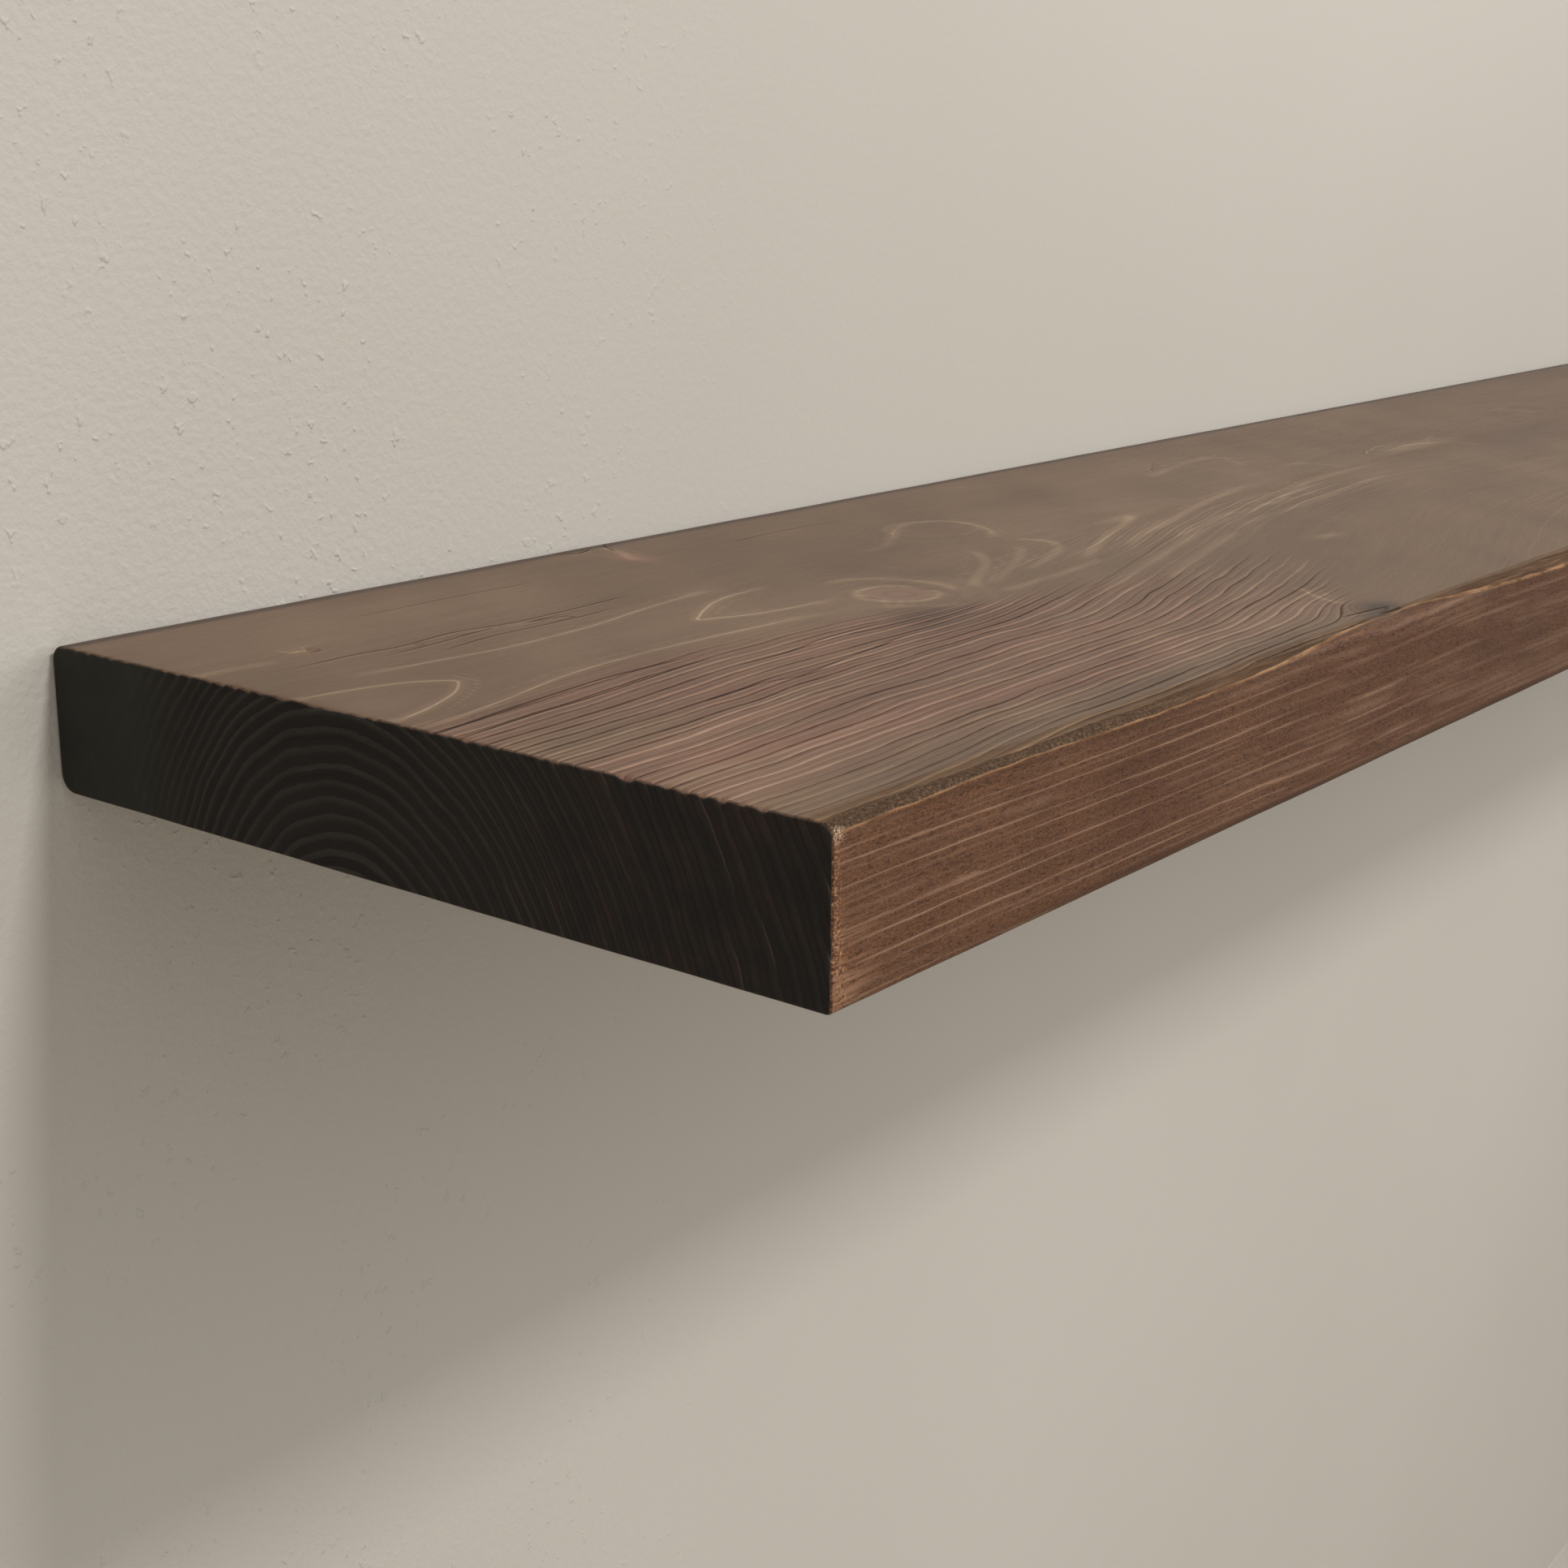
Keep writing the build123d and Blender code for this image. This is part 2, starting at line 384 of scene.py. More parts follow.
def node_place(node):
    """The middle of a CAD node's box, half its width, and its reach along Y and Z, in mm."""
    lo, hi = (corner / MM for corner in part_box(node))
    return (lo + hi) / 2, (hi.x - lo.x) / 2, (lo.y, hi.y), (lo.z, hi.z)


def make_rod(node, material):
    """A rod with a chamfered tip and a rippled weld bead round its root."""
    middle, bead, (tip, root), _ = node_place(node)
    plate = -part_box(node.replace("support_rod", "wall_plate"))[0].y / MM
    radius = bead - weld_leg
    spigot = radius * 0.75

    def ripple(angle, along):
        on_bead = plate < along < plate + weld_leg
        return 1 - weld_ripple_depth * on_bead * abs(math.sin(weld_ripples * angle / 2))

    points = [(spigot, -root), (spigot, plate), (bead - 0.15, plate + 0.01)]
    for part in (0.25, 0.5, 0.75):
        bulge = weld_bulge * math.sin(math.pi * part)
        points.append((bead - weld_leg * part + bulge, plate + weld_leg * part))
    points += [(radius, plate + weld_leg), (radius, -tip - 0.8), (radius - 0.8, -tip)]
    made = turned(node, points, (middle.x, 0, 0), (0, -1, 0), 104, ripple)
    settle(made, node, "wall_supports", material)


def make_lock_screw(node, material):
    """A grub screw: a hexagonal socket in its foot, a thread, and a cupped tip."""
    middle, radius, _, (foot, tip) = node_place(node)
    tall = tip - foot
    points = [(radius - 0.5, 0), (radius, 0.5), (radius, tall - 0.9), (radius - 0.9, tall)]
    points = stepped(points, lock_pitch / 6)
    place = (middle.x, middle.y, foot)
    made = turned(node, points, place, (0, 0, 1), 36, thread(lock_pitch, 0.19, 0, tall))
    reach = lock_socket_radius
    socket = turned("socket", [(reach, -overrun), (reach, lock_socket_depth)], place, (0, 0, 1), 6)
    boolean(made, socket, "DIFFERENCE")
    cup = turned("cup", [(0.2, tall - 0.7), (1.5, tall + 0.1)], place, (0, 0, 1), 24)
    boolean(made, cup, "DIFFERENCE")
    settle(made, node, node, material)


def make_wall_screw(node, material):
    """A countersunk wood screw with a cross recess, a thread and a point."""
    middle, head, (face, tip), _ = node_place(node)
    radius = plug_bore_radius - 0.1
    long = tip - face
    sunk = head - radius
    points = [(head - 0.3, 0), (head - 0.1, 0.1), (radius, sunk), (radius, long - 6), (0.3, long)]
    points = stepped(points[:2], 1) + stepped(points[2:], screw_pitch / 6)
    place = (middle.x, face, 0)
    cut = thread(screw_pitch, 0.34, sunk + 5, long + screw_pitch)
    made = turned(node, points, place, (0, 1, 0), 24, cut)
    for across, up in ((cross_span, cross_width), (cross_width, cross_span)):
        reach = Vector((across / 2, 0, up / 2))
        low = Vector((middle.x, face - overrun, 0)) - reach
        high = Vector((middle.x, face + cross_depth, 0)) + reach
        boolean(made, slab("recess", low, high, 0.3), "DIFFERENCE")
    settle(made, node, "wall_supports", material)


def make_plug(node, material):
    """A nylon plug: a plain collar, then barbs with a split between them."""
    middle, radius, (start, end), _ = node_place(node)
    long = end - start
    points = [(radius, 0), (radius, 1.2), (radius - 0.35, 1.6), (radius - 0.35, plug_collar)]
    along = plug_collar
    while along + plug_barb_pitch < long - 2:
        points += [(radius - plug_barb, along + 0.1), (radius, along + plug_barb_pitch - 0.3)]
        along += plug_barb_pitch
    points += [(radius - plug_barb, along + 0.1), (radius - 0.9, long)]
    made = turned(node, points, (middle.x, start, 0), (0, 1, 0), 40)
    reach = plug_bore_radius
    bore = turned("bore", [(reach, -1), (reach, long + 1)], (middle.x, start, 0), (0, 1, 0), 40)
    boolean(made, bore, "DIFFERENCE")
    low = Vector((middle.x - plug_slot_width / 2, start + plug_collar, -radius - 1))
    high = Vector((middle.x + plug_slot_width / 2, end + overrun, radius + 1))
    boolean(made, slab("split", low, high, 0.1), "DIFFERENCE")
    settle(made, node, "wall_supports", material)


# ---------------------------------------------------------------- the grain's fields

# The pith runs along the board well below its underside. Heights are above the pith.
pith_line = (  # distance from left end, distance from wall
    (-20, 100), (34, 100), (80, 95.5), (116, 94), (155, 91.5), (200, 90), (400, 88), (600, 85),
    (900, 92), (1220, 98),
)
pith_squeeze = 1.2
first_ring = 70.0
ring_radii = (20, 70, 88, 105, 290)
ring_counts = (-13.5, 0, 6.6, 11.8, 50.3)
top_above_first_ring = (  # distance from left end, how far the top lies above the first ring
    (-20, -4.2), (0, -2.5), (34, 0), (80, 0.53), (116, 0), (155, -1.3), (190, -3.0), (240, -1.0),
    (275, 0), (332, 3.0), (395, 6.0), (450, 7.0), (500, 4.5), (540, 3.0), (600, 1.0), (700, -2.5),
    (800, 0.8), (860, 2.2), (950, -1.0), (1050, -3.0), (1120, 0.4), (1220, 3.0),
)
front_tilt = 0.12
grain_sweep = (  # distance from left end, how far the grain has swept towards the wall
    (-20, 0), (150, 0), (217, 11), (270, 22), (330, 35), (390, 46), (450, 51), (560, 44), (700, 18),
    (800, 0), (1220, 0),
)

# The front face's light lines: the first one's drop below the top, the next ones' spacing, and
# how far they sink along the first 200 mm.
front_line_first = 0.95
front_line_pitch = 3.65
front_line_fall = 1.1

# The wane's colours: how far up it the front face's stain reaches, 0 to 1, and how far in from
# the front face the top's stain starts, both by the distance from the left end.
stain_border = (
    (0, 0), (168, 0.02), (180, 0.31), (190, 0.6), (200, 0.85), (208, 1.0), (240, 0.98), (255, 0.9),
    (270, 0.48), (285, 0.2), (300, 0.05), (600, 0.1), (660, 0.6), (720, 0.1), (1200, 0.1),
)
bared_width = (
    (0, 3.2), (105, 3.2), (150, 3.6), (200, 3.3), (235, 3.0), (255, 4.6), (285, 5.4), (345, 4.8),
    (500, 3.6), (655, 4.6), (800, 3.4), (938, 4.8), (1200, 3.2),
)

# How wide, in mm, the line of worn, light timber on the wane is.
worn_line = (
    (0, 0.5), (60, 0.42), (165, 0.5), (190, 1.0), (213, 1.2), (222, 0.35), (236, 0.35), (246, 1.8),
    (262, 1.6), (280, 1.0), (345, 0.9), (500, 0.5), (655, 1.3), (720, 0.5), (938, 1.3), (1200, 0.5),
)

# The brushed zone lies in front of this line, by the distance from the left end.
brush_limit = (
    (-20, 118), (90, 118), (130, 124), (160, 131), (211, 141), (252, 148), (270, 153), (287, 160),
    (295, 170), (312, 230), (620, 230), (680, 134), (900, 118), (1220, 126),
)

# Knots on the top: distance from the left end, from the wall, radius, and stretch along the grain.
knots = {
    "a": (175.7, 112.6, 10.4, 1.05),
    "b": (267.0, 59.0, 14.0, 1.2),
    "d": (240.0, 216.0, 6.0, 1.3),
    "e": (705.0, 70.0, 9.0, 1.5),
    "f": (905.0, 150.0, 12.0, 1.4),
}
knot_light = {"a": 1.0, "b": 0.22, "d": 0.0, "e": 0.7, "f": 0.6}  # how far each is rubbed light

# Places on the top where light lines of grain show: the middle, the reach, and the share.
line_spots = (
    (300, 112, 60, 20, 0.5), (400, 108, 80, 20, 0.6), (430, 40, 60, 10, 0.3),
    (560, 86, 60, 16, 0.9), (780, 88, 90, 24, 0.6), (1010, 96, 110, 22, 0.6),
)

# Places on the top that are lighter or darker in tone: the change in tone, the middle, and the
# reach.
# The two dark ones at 232 and 241.5 mm from the left end are painted shade in the shallow hollow
# by the front arris.
tone_spots = (
    (-0.24, 157, 138, 20, 11), (-0.06, 215, 66, 50, 22), (-0.12, 157, 131, 10, 6),
    (-0.10, 70, 216, 130, 9), (0.06, 14, 99, 20, 12), (0.04, 145, 93, 24, 8),
    (0.16, 171, 24, 6, 10), (-0.30, 178, 4, 9, 4), (0.09, 70, 30, 80, 35),
    (0.26, 334, 156.5, 7, 2.6), (0.16, 322, 92, 12, 3), (-0.34, 241.5, 214.5, 7, 4.5),
    (-0.22, 232, 217, 8, 3), (0.22, 560, 86, 26, 7), (-0.10, 203, 103, 11, 8),
)

# Lines drawn on the top: a strength, then by turns the distances from the left end and from the
# wall of points on the line. Light ones are hard ring edges, dark ones are splits and scratches,
# but the two dark ones 213 to 219 mm from the wall, 222 to 247 mm from the left end, are painted
# shade in the shallow hollow by the front arris.
light_strokes = (
    (1.0, -6, 83.5, 0, 84.6, 14, 87, 25, 90.3, 31, 94, 34, 97.6, 31.5, 101, 25, 106, 12, 111.8,
     0, 114.8, -6, 116),
    (1.0, 166, 80, 153.7, 80.6, 143.8, 81.5, 135, 84, 127.4, 87.8, 120, 92.4, 116.4, 95, 122, 97.1,
     131.4, 100.6, 146.5, 103, 163, 103.6),
    (0.85, 16, 76.6, 45, 80, 65, 81.8, 82.5, 81.2, 102.5, 78.8, 125, 74.5, 158, 70.8),
    (0.85, -6, 124.5, 0, 123, 15, 120.8, 32.5, 117, 50, 112.5, 67.5, 110.2, 90, 109.8,
     112.5, 110.8, 135, 112, 150, 114.5),
    (0.45, -6, 51.8, 10, 52.2, 24, 54.6),
    (0.6, 186.9, 112.6, 184.5, 104.9, 179, 101.4, 171, 102, 165.6, 107.1, 164.3, 113.4,
     167.2, 119.9, 173, 123.4, 179.4, 123.1, 184.8, 119.4, 186.9, 112.6),
    (0.55, 156, 121, 161, 121.4, 165.5, 125, 172, 130.5, 179, 132),
    (0.55, 172, 90, 178, 89.6, 185, 92, 191, 98, 193.5, 106, 192.9, 115.6, 187, 124),
    (0.62, 194.3, 123.6, 204, 117, 214, 112, 225, 106.5, 236, 98, 244, 87),
    (0.5, 205, 111, 213, 109, 224, 105, 236, 97, 240, 89),
    (0.5, 200, 121, 208, 121, 228, 113, 246, 104, 256, 97, 257, 90),
    (0.62, 224, 121, 233.5, 117, 248, 112.5, 261, 107.5, 270, 100, 269, 92, 262, 85),
    (0.66, 247, 124, 264.3, 116.5, 278.6, 110.8, 292.9, 105, 307.1, 100.7, 323, 95, 327.5, 91,
     323, 86),
    (0.6, 268, 124, 285, 117.5, 300, 112.6, 330, 106, 361, 98, 403, 90, 424, 87.6),
    (0.5, 296, 125, 318, 119.5, 342, 114.5, 372, 111.5),
    (0.5, 194, 131, 206, 130.4, 245, 127, 260, 124),
    (0.5, 200, 155.5, 229, 146.4, 269, 136, 329, 120, 367, 115, 408, 107, 449, 99.3, 515, 98),
    (0.45, 328, 128, 367, 124, 411, 120, 450, 115, 480, 112),
    (0.45, 235, 156, 270, 146, 305, 136.5, 328, 131),
    (0.4, -6, 186.3, 20, 187, 42.5, 187.8, 80, 186.2),
    (0.35, 6, 168, 57.5, 165.5, 104, 163.6),
    (0.75, 238, 66, 243, 62.5, 251, 56, 262.7, 50, 273, 49, 281.4, 54, 281, 64, 277, 72.5, 270, 79,
     262, 85),
    (0.45, 219, 67, 228, 67.5, 238, 64, 247, 57, 256, 50),
    (0.6, 171, 3, 173, 5.5, 177, 10, 174, 18, 170, 25, 170, 33),
    (0.5, 404, 55, 430, 48, 452, 44.2, 470, 44, 476, 42),
    (0.5, 479, 39, 470, 50, 461, 60, 460, 67),
    (0.5, 468, 76, 480, 77, 479, 88, 474, 96.5),
    (0.55, 368, 111, 374, 112.5, 385, 114, 397, 111.5, 404, 110),
    (0.9, 530, 87, 539, 85.4, 552, 84.6, 570, 86),
    (0.4, 552, 85, 566, 87, 573, 97, 574, 109),
    (0.85, 252, 186, 248.6, 190.4, 245, 194, 242, 198, 239.4, 203, 238, 208),
    (0.9, 28.6, 48.6, 32.5, 48.2, 36.5, 49.4),
)
dark_strokes = (
    (0.75, 14, 62, 35, 61.2, 50, 62.3, 68, 60.6, 87.5, 63.2, 110, 62.2, 138, 60.2),
    (0.65, 38, 67.8, 60, 65.9, 77.5, 64.2, 95, 66.4, 110, 68.6),
    (0.6, 50, 73.4, 70, 70.6, 87.5, 70.6, 105, 70.2, 118, 68.2),
    (0.9, -6, 128, 0, 127.6, 20, 124.6, 45, 121.4, 65, 119.8, 90, 120.4),
    (0.95, -6, 134.6, 0, 134.2, 22, 131.2, 50, 129.2, 75, 125.4, 92, 124.6),
    (0.75, 82, 133.6, 100, 134, 120, 131.4, 145, 131.2),
    (0.7, 48, 150.6, 72, 149, 86, 150.8, 108, 147.6, 140, 143.2),
    (0.45, 205, 30, 232, 27.5, 262, 29),
    (0.4, 60, 30, 95, 28.6, 130, 30.2),
    (1.0, 29, 51.2, 33, 50.4, 38, 51.4),
    (0.95, 222, 213, 230, 214, 238, 214.6, 246, 216.4),
    (0.9, 234, 217.6, 240, 218.4, 247, 219),
    (0.95, 159, 2.4, 162, 4.5, 164.5, 8.6, 169, 8, 174, 6),
    (0.9, 184, 3, 181, 4, 178, 8, 175, 15),
    (0.6, 449, 29, 440, 36, 428, 43, 418, 46),
    (0.28, 200, 150, 232, 141.5, 268, 131.5, 300, 122, 336, 115.5),
    (0.22, 372, 108.5, 405, 102.5, 440, 95.5, 470, 93),
)


def smooth(x, points):
    """A smooth curve through points, at x: straight runs blurred over a short length."""
    xs, ys = zip(*points)
    total = np.zeros_like(x)
    offsets = np.linspace(-9, 9, 7)
    for offset in offsets:
        total += np.interp(x + offset, xs, ys)
    return total / len(offsets)


def ramp(x, start, stop):
    """0 before start, 1 after stop, smooth between."""
    t = np.clip((x - start) / (stop - start), 0, 1)
    return t * t * (3 - 2 * t)


def waves(seed, along, across, count=14):
    """A smooth random field in -1..1 from summed sines, for coordinates in its own cells."""
    source = np.random.default_rng(seed)
    total = np.zeros_like(along)
    for _ in range(count):
        fa, fb = source.normal(0, 1, 2)
        phase = source.uniform(0, 2 * np.pi)
        total += np.sin(2 * np.pi * (fa * along + fb * across) + phase)
    return total / math.sqrt(count / 2) / 1.6


def spot(x, y, centre_x, centre_y, reach_x, reach_y):
    """1 at a place on the top, falling to 0 around it."""
    return np.exp(-(((x - centre_x) / reach_x) ** 2) - ((y - centre_y) / reach_y) ** 2)


def grain(x, y, z):
    """The ring number at a place: x from the left end, y from the wall, z above mid-thickness."""
    depth_from_top = half - z
    fade = np.exp(-depth_from_top / 18)
    bent = y.copy()
    for centre_x, centre_y, radius, stretch in knots.values():
        dx = (x - centre_x) / stretch
        dy = y - centre_y
        square = np.maximum(dx * dx + dy * dy, radius * radius)
        bent -= fade * dy * radius * radius / square * ramp(np.abs(dy) / radius, 0.0, 0.6)
    bent += 0.7 * waves(11, x / 170, y / 60) + 0.28 * waves(12, x / 45, y / 22)
    lag = 70 * ramp(y, 125, 235)
    bent += fade * ramp(y, 84, 104) * smooth(x - lag, grain_sweep)
    from_pith = bent - smooth(x, pith_line)
    height = first_ring + 0.7 * smooth(x, top_above_first_ring) - depth_from_top
    radius = np.hypot(pith_squeeze * from_pith, height)
    radius = radius - front_tilt * ramp(y, 120, 225) * depth_from_top
    return np.interp(radius, ring_radii, ring_counts)


def knot_reach(name, x, y):
    """Distance from a knot's middle, in its own radii."""
    centre_x, centre_y, radius, stretch = knots[name]
    return np.hypot((x - centre_x) / stretch, y - centre_y) / radius


def ring_spacing(x, y, z, normal):
    """The millimetres from one ring to the next along the skin at a place."""
    step = 0.5
    here = grain(x, y, z)
    along, inwards, up = grain(x + step, y, z), grain(x, y + step, z), grain(x, y, z + step)
    slope = np.stack([along - here, here - inwards, up - here], axis=1) / step
    slope -= normal * np.sum(slope * normal, axis=1, keepdims=True)
    return np.clip(1 / np.maximum(np.linalg.norm(slope, axis=1), 1e-3), 1.0, 60.0)


def curve(flat):
    """Closely spaced places along a smooth curve through points, and its headings there."""
    p = np.reshape(flat, (-1, 2)).astype(float)
    p = np.vstack([2 * p[0] - p[1], p, 2 * p[-1] - p[-2]])
    pieces = []
    for a, b, c, d in zip(p, p[1:], p[2:], p[3:]):
        t = np.linspace(0, 1, math.ceil(np.linalg.norm(c - b)) + 1)[:-1, None]
        bend = (2 * a - 5 * b + 4 * c - d) * t**2 + (3 * b - a - 3 * c + d) * t**3
        pieces.append(b + 0.5 * ((c - a) * t + bend))
    path = np.vstack(pieces)
    heading = np.gradient(path, axis=0)
    return path, heading / np.linalg.norm(heading, axis=1, keepdims=True)


def stroke_fields(x, y, strokes, reach):
    """The signed distance to the nearest drawn line, and how strong the line is there."""
    offset = np.full_like(x, 9.0)
    share = np.zeros_like(x)
    for strength, *flat in strokes:
        path, heading = curve(flat)
        low, high = path.min(axis=0) - reach, path.max(axis=0) + reach
        near = np.nonzero((x > low[0]) & (x < high[0]) & (y > low[1]) & (y < high[1]))[0]
        away = np.stack([x[near], y[near]], axis=1)[:, None] - path[None]
        square = (away**2).sum(axis=2)
        nearest = square.argmin(axis=1)
        away = away[np.arange(len(near)), nearest]
        turn = heading[nearest, 0] * away[:, 1] - heading[nearest, 1] * away[:, 0]
        along = nearest / (len(path) - 1)
        fade = ramp(np.minimum(along, 1 - along), 0, 0.16)
        fade = fade * (1 - ramp(np.sqrt(square.min(axis=1)), 0.7 * reach, reach))
        stronger = strength * fade > share[near]
        share[near[stronger]] = (strength * fade)[stronger]
        offset[near[stronger]] = turn[stronger]
    return offset, share


def on_board(co):
    """Distances from the left end, from the wall and above mid-thickness."""
    return co[:, 0] - left_end, -co[:, 1], co[:, 2]


def grain_fields(co, normal):
    """Each vertex's fields for the timber's materials and relief, from its place and normal."""
    x, y, z = on_board(co)
    on_top = ramp(normal[:, 2], 0.6, 0.95)
    on_front = ramp(-normal[:, 1], 0.6, 0.95)
    on_end = ramp(np.abs(normal[:, 0]), 0.5, 0.9)
    width, drop = wane_size(x)
    below_top = half - z
    near = 1 - ramp(x, 150, 330)

    # The brushed zone in front of the pith, fading along the board and coming back in places.
    patches = 0.18 + 0.4 * ramp(waves(21, x / 260, y / 110), -0.1, 0.9)
    patches = 1 + (patches - 1) * ramp(x, 520, 640)
    inside = y - 4 * waves(22, x / 200, y * 0) - smooth(x, brush_limit)
    brushed = ramp(inside / (1 + 1.6 * ramp(x, 160, 260)), -6, 7) * patches
    brushed = brushed * (1 - 0.35 * ramp(x, 200, 300))
    brushed = brushed * (1 - 0.5 * spot(x, y, 20, 215, 60, 12))
    brushed = brushed * (1 - ramp(x + 1.365 * y, 514, 532) * (1 - ramp(x, 620, 680)))
    groove = np.clip(brushed, 0.02, 1) * on_top + 0.35 * on_end * ramp(y, 34, 54)

    # Light lines: faint in general, stronger where the grain sweeps by a knot.
    line = 0.04 + 0.62 * brushed + 0.20 * ramp(x, 360, 520)
    for *place, share in line_spots:
        line = np.maximum(line, share * spot(x, y, *place))
    line = np.clip(line, 0, 1) * on_top + 0.4 * ramp(-normal[:, 2], 0.6, 0.95)
    light_offset, light_share = stroke_fields(x, y, light_strokes, 4.6)
    dark_offset, dark_share = stroke_fields(x, y, dark_strokes, 2.9)

    # Broad differences in how the stain took, and the listed spots of tone, among them painted
    # shade in the hollow by the front arris.
    tone = 0.5 + 0.05 * waves(31, x / 330, y / 120) + 0.03 * waves(32, x / 90, y / 40)
    tone = tone - 0.05 * ramp(x, 250, 700)
    for change, *place in tone_spots:
        tone = tone + change * spot(x, y, *place)
    flush = brushed * near * (0.75 + 0.35 * waves(33, x / 90, y / 26))
    flush = flush * (1 - 0.8 * spot(x, y, 10, 152, 34, 14)) * (1 - ramp(y, 198, 214))
    flush = flush + 0.9 * spot(x, y, 171, 24, 6, 10)

    # Knots: a rubbed core, a dark seam round it, and crescents of light grain further out.
    core = np.zeros_like(x)
    knot_ring = np.zeros_like(x)
    for name, light in knot_light.items():
        reach = knot_reach(name, x, y) * (1 + 0.06 * waves(40 + ord(name), x / 16, y / 12))
        inside = (1 - ramp(reach, 0.74, 0.92)) * on_top
        core = np.maximum(core, inside * light)
        knot_ring = np.where(reach < 1.6, reach * 2.0, knot_ring)
        tone = tone - 0.13 * light * bell(reach, 1.14, 0.09)
        tone = tone + 0.26 * light**0.4 * bell(reach, 0.92, 0.055)
        crescent = bell(reach, 1.7, 0.16) + bell(reach, 2.3, 0.2)
        tone = tone + 0.05 * light * crescent * ramp(x - knots[name][0], -4, 10)

    # The wane's colours: how far up from the front face's stain, and down from the top's.
    chord = np.hypot(width, drop)
    under = below_top - drop
    rise = ((depth - y) * width - under * drop) / chord
    rise = np.where(under > 0, -under, np.where(depth - y > width, chord + depth - width - y, rise))
    rise = rise - chord * smooth(x, stain_border) + 0.12 * waves(51, x / 17, x * 0)
    bared = depth - smooth(x, bared_width) - y + 0.10 * waves(52, x / 13, x * 0)
    front_ring = below_top - front_line_first - front_line_fall * ramp(x, 0, 200)
    front_ring = front_ring / front_line_pitch + 0.10 * waves(71, x / 110, z / 40)
    front_ring += 0.16 * np.sin(0.8 * below_top + 1) + 0.07 * np.sin(2.1 * below_top)
    front_ring += 0.5 * ramp(x, 190, 320) * waves(72, x / 260, z / 30)

    return {
        "ring": grain(x, y, z),
        "spacing": ring_spacing(x, y, z, normal),
        "front_ring": front_ring,
        "groove": groove,
        "line": line,
        "light_offset": light_offset,
        "light_share": light_share * on_top,
        "dark_offset": dark_offset,
        "dark_share": dark_share * on_top,
        "tone": tone,
        "flush": np.clip(flush, 0, 1) * on_top,
        "core": core,
        "knot_ring": knot_ring,
        "rise": np.clip(np.where(z > 0, rise, -9), -9, 9),
        "bared": np.clip(bared, -9, 9),
        "worn": smooth(x, worn_line),
        "end": on_end,
        "front": on_front,
    }


def relief(co, normal, fields):
    """How far each vertex of the board's skin sinks, in millimetres, as a vector."""
    x, y, z = on_board(co)
    from_end = np.minimum(x, length - x)
    phase = fields["ring"] % 1.0
    trough = bell(phase, 0.16, 0.16) + bell(phase, 1.16, 0.16)
    wane = ramp(depth - y, 7, 4) * ramp(z, half - 5, half - 3) * (1 - fields["end"])
    sink = 0.02 + 0.15 * trough * fields["groove"] * (1 - wane) * (1 - 0.6 * fields["end"])
    sink += 0.10 * (1 + waves(61, x / 85, y / 40 + z / 40)) / 2
    sink += 0.05 * fields["core"] * (1 + np.cos(2 * np.pi * fields["knot_ring"]))
    sink += 0.9 * spot(x, y, 32.5, 50, 3.2, 1.6) * (z > 0) * (1 - fields["end"])
    sink += wane * 0.10 * (1 + waves(62, x / 7, y / 2.5 + z / 2.5))
    sink += 0.5 * spot(x, y, 236, 218, 12, 5) * (z > 0)
    move = -normal * sink[:, None]

    # Small chips out of the end arrises, scalloped between the hard rings.
    scallop = 0.5 + 0.5 * np.cos(2 * np.pi * (fields["ring"] + 0.35))
    chip = np.maximum(0, waves(63, y / 7, z / 5) * 0.6 + scallop - 0.45)
    near_arris = np.exp(-from_end / 0.9) * np.exp(-np.minimum(half - z, depth - y) / 0.9)
    slope = np.where(x < length / 2, 1.0, -1.0)
    move[:, 0] += 0.60 * chip * near_arris * slope
    move[:, 2] -= 1.0 * chip * near_arris * (z > 0)
    move[:, 1] += 0.22 * chip * near_arris * (y > depth - 3)
    return move


def make_board(stained, raw):
    """The board with its holes, relief and grain fields, in place of the CAD board."""
    board = add_object("timber_board", board_mesh())
    board.data.materials.append(stained)
    for name in SUPPORTS:
        boolean(board, support_room(name, raw), "DIFFERENCE")
    mesh = board.data
    mesh.name = "timber_board"
    count = len(mesh.vertices)
    co = np.empty(count * 3)
    mesh.vertices.foreach_get("co", co)
    co = co.reshape(-1, 3) / MM
    normal = np.array([v.vector[:] for v in mesh.vertex_normals])
    in_holes = np.zeros(count, bool)
    for face in mesh.polygons:
        if face.material_index:
            in_holes[list(face.vertices)] = True
    fields = grain_fields(co, normal)
    move = relief(co, normal, fields)
    move[in_holes] = 0
    placed = np.clip(co + move, board_lo, board_hi)
    mesh.vertices.foreach_set("co", (placed * MM).ravel())
    for name, values in fields.items():
        layer = mesh.attributes.new(name, "FLOAT", "POINT")
        layer.data.foreach_set("value", values.astype(np.float32))
    mesh.polygons.foreach_set("use_smooth", [not face.material_index for face in mesh.polygons])
    mesh.update()
    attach(board, "board")
    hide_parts("shelf_board")


# ---------------------------------------------------------------- materials


class Value:
    """A node's output. Sums, differences and products of outputs make further nodes."""

    def __init__(self, graph, socket):
        self.graph = graph
        self.socket = socket

    def __add__(self, other):
        return self.graph.math("ADD", self, other)

    def __sub__(self, other):
        return self.graph.math("SUBTRACT", self, other)

    def __rsub__(self, other):
        return self.graph.math("SUBTRACT", other, self)

    def __mul__(self, other):
        """Times a number or an output, or a vector's parts times those of a tuple."""
        if isinstance(other, tuple):
            return self.graph.value("VectorMath", (self, other), operation="MULTIPLY")
        return self.graph.math("MULTIPLY", self, other)

    def __truediv__(self, other):
        if isinstance(other, tuple):
            return self * tuple(1 / part for part in other)
        return self * (1 / other)

    def __abs__(self):
        return self.graph.math("ABSOLUTE", self)

    __radd__ = __add__
    __rmul__ = __mul__


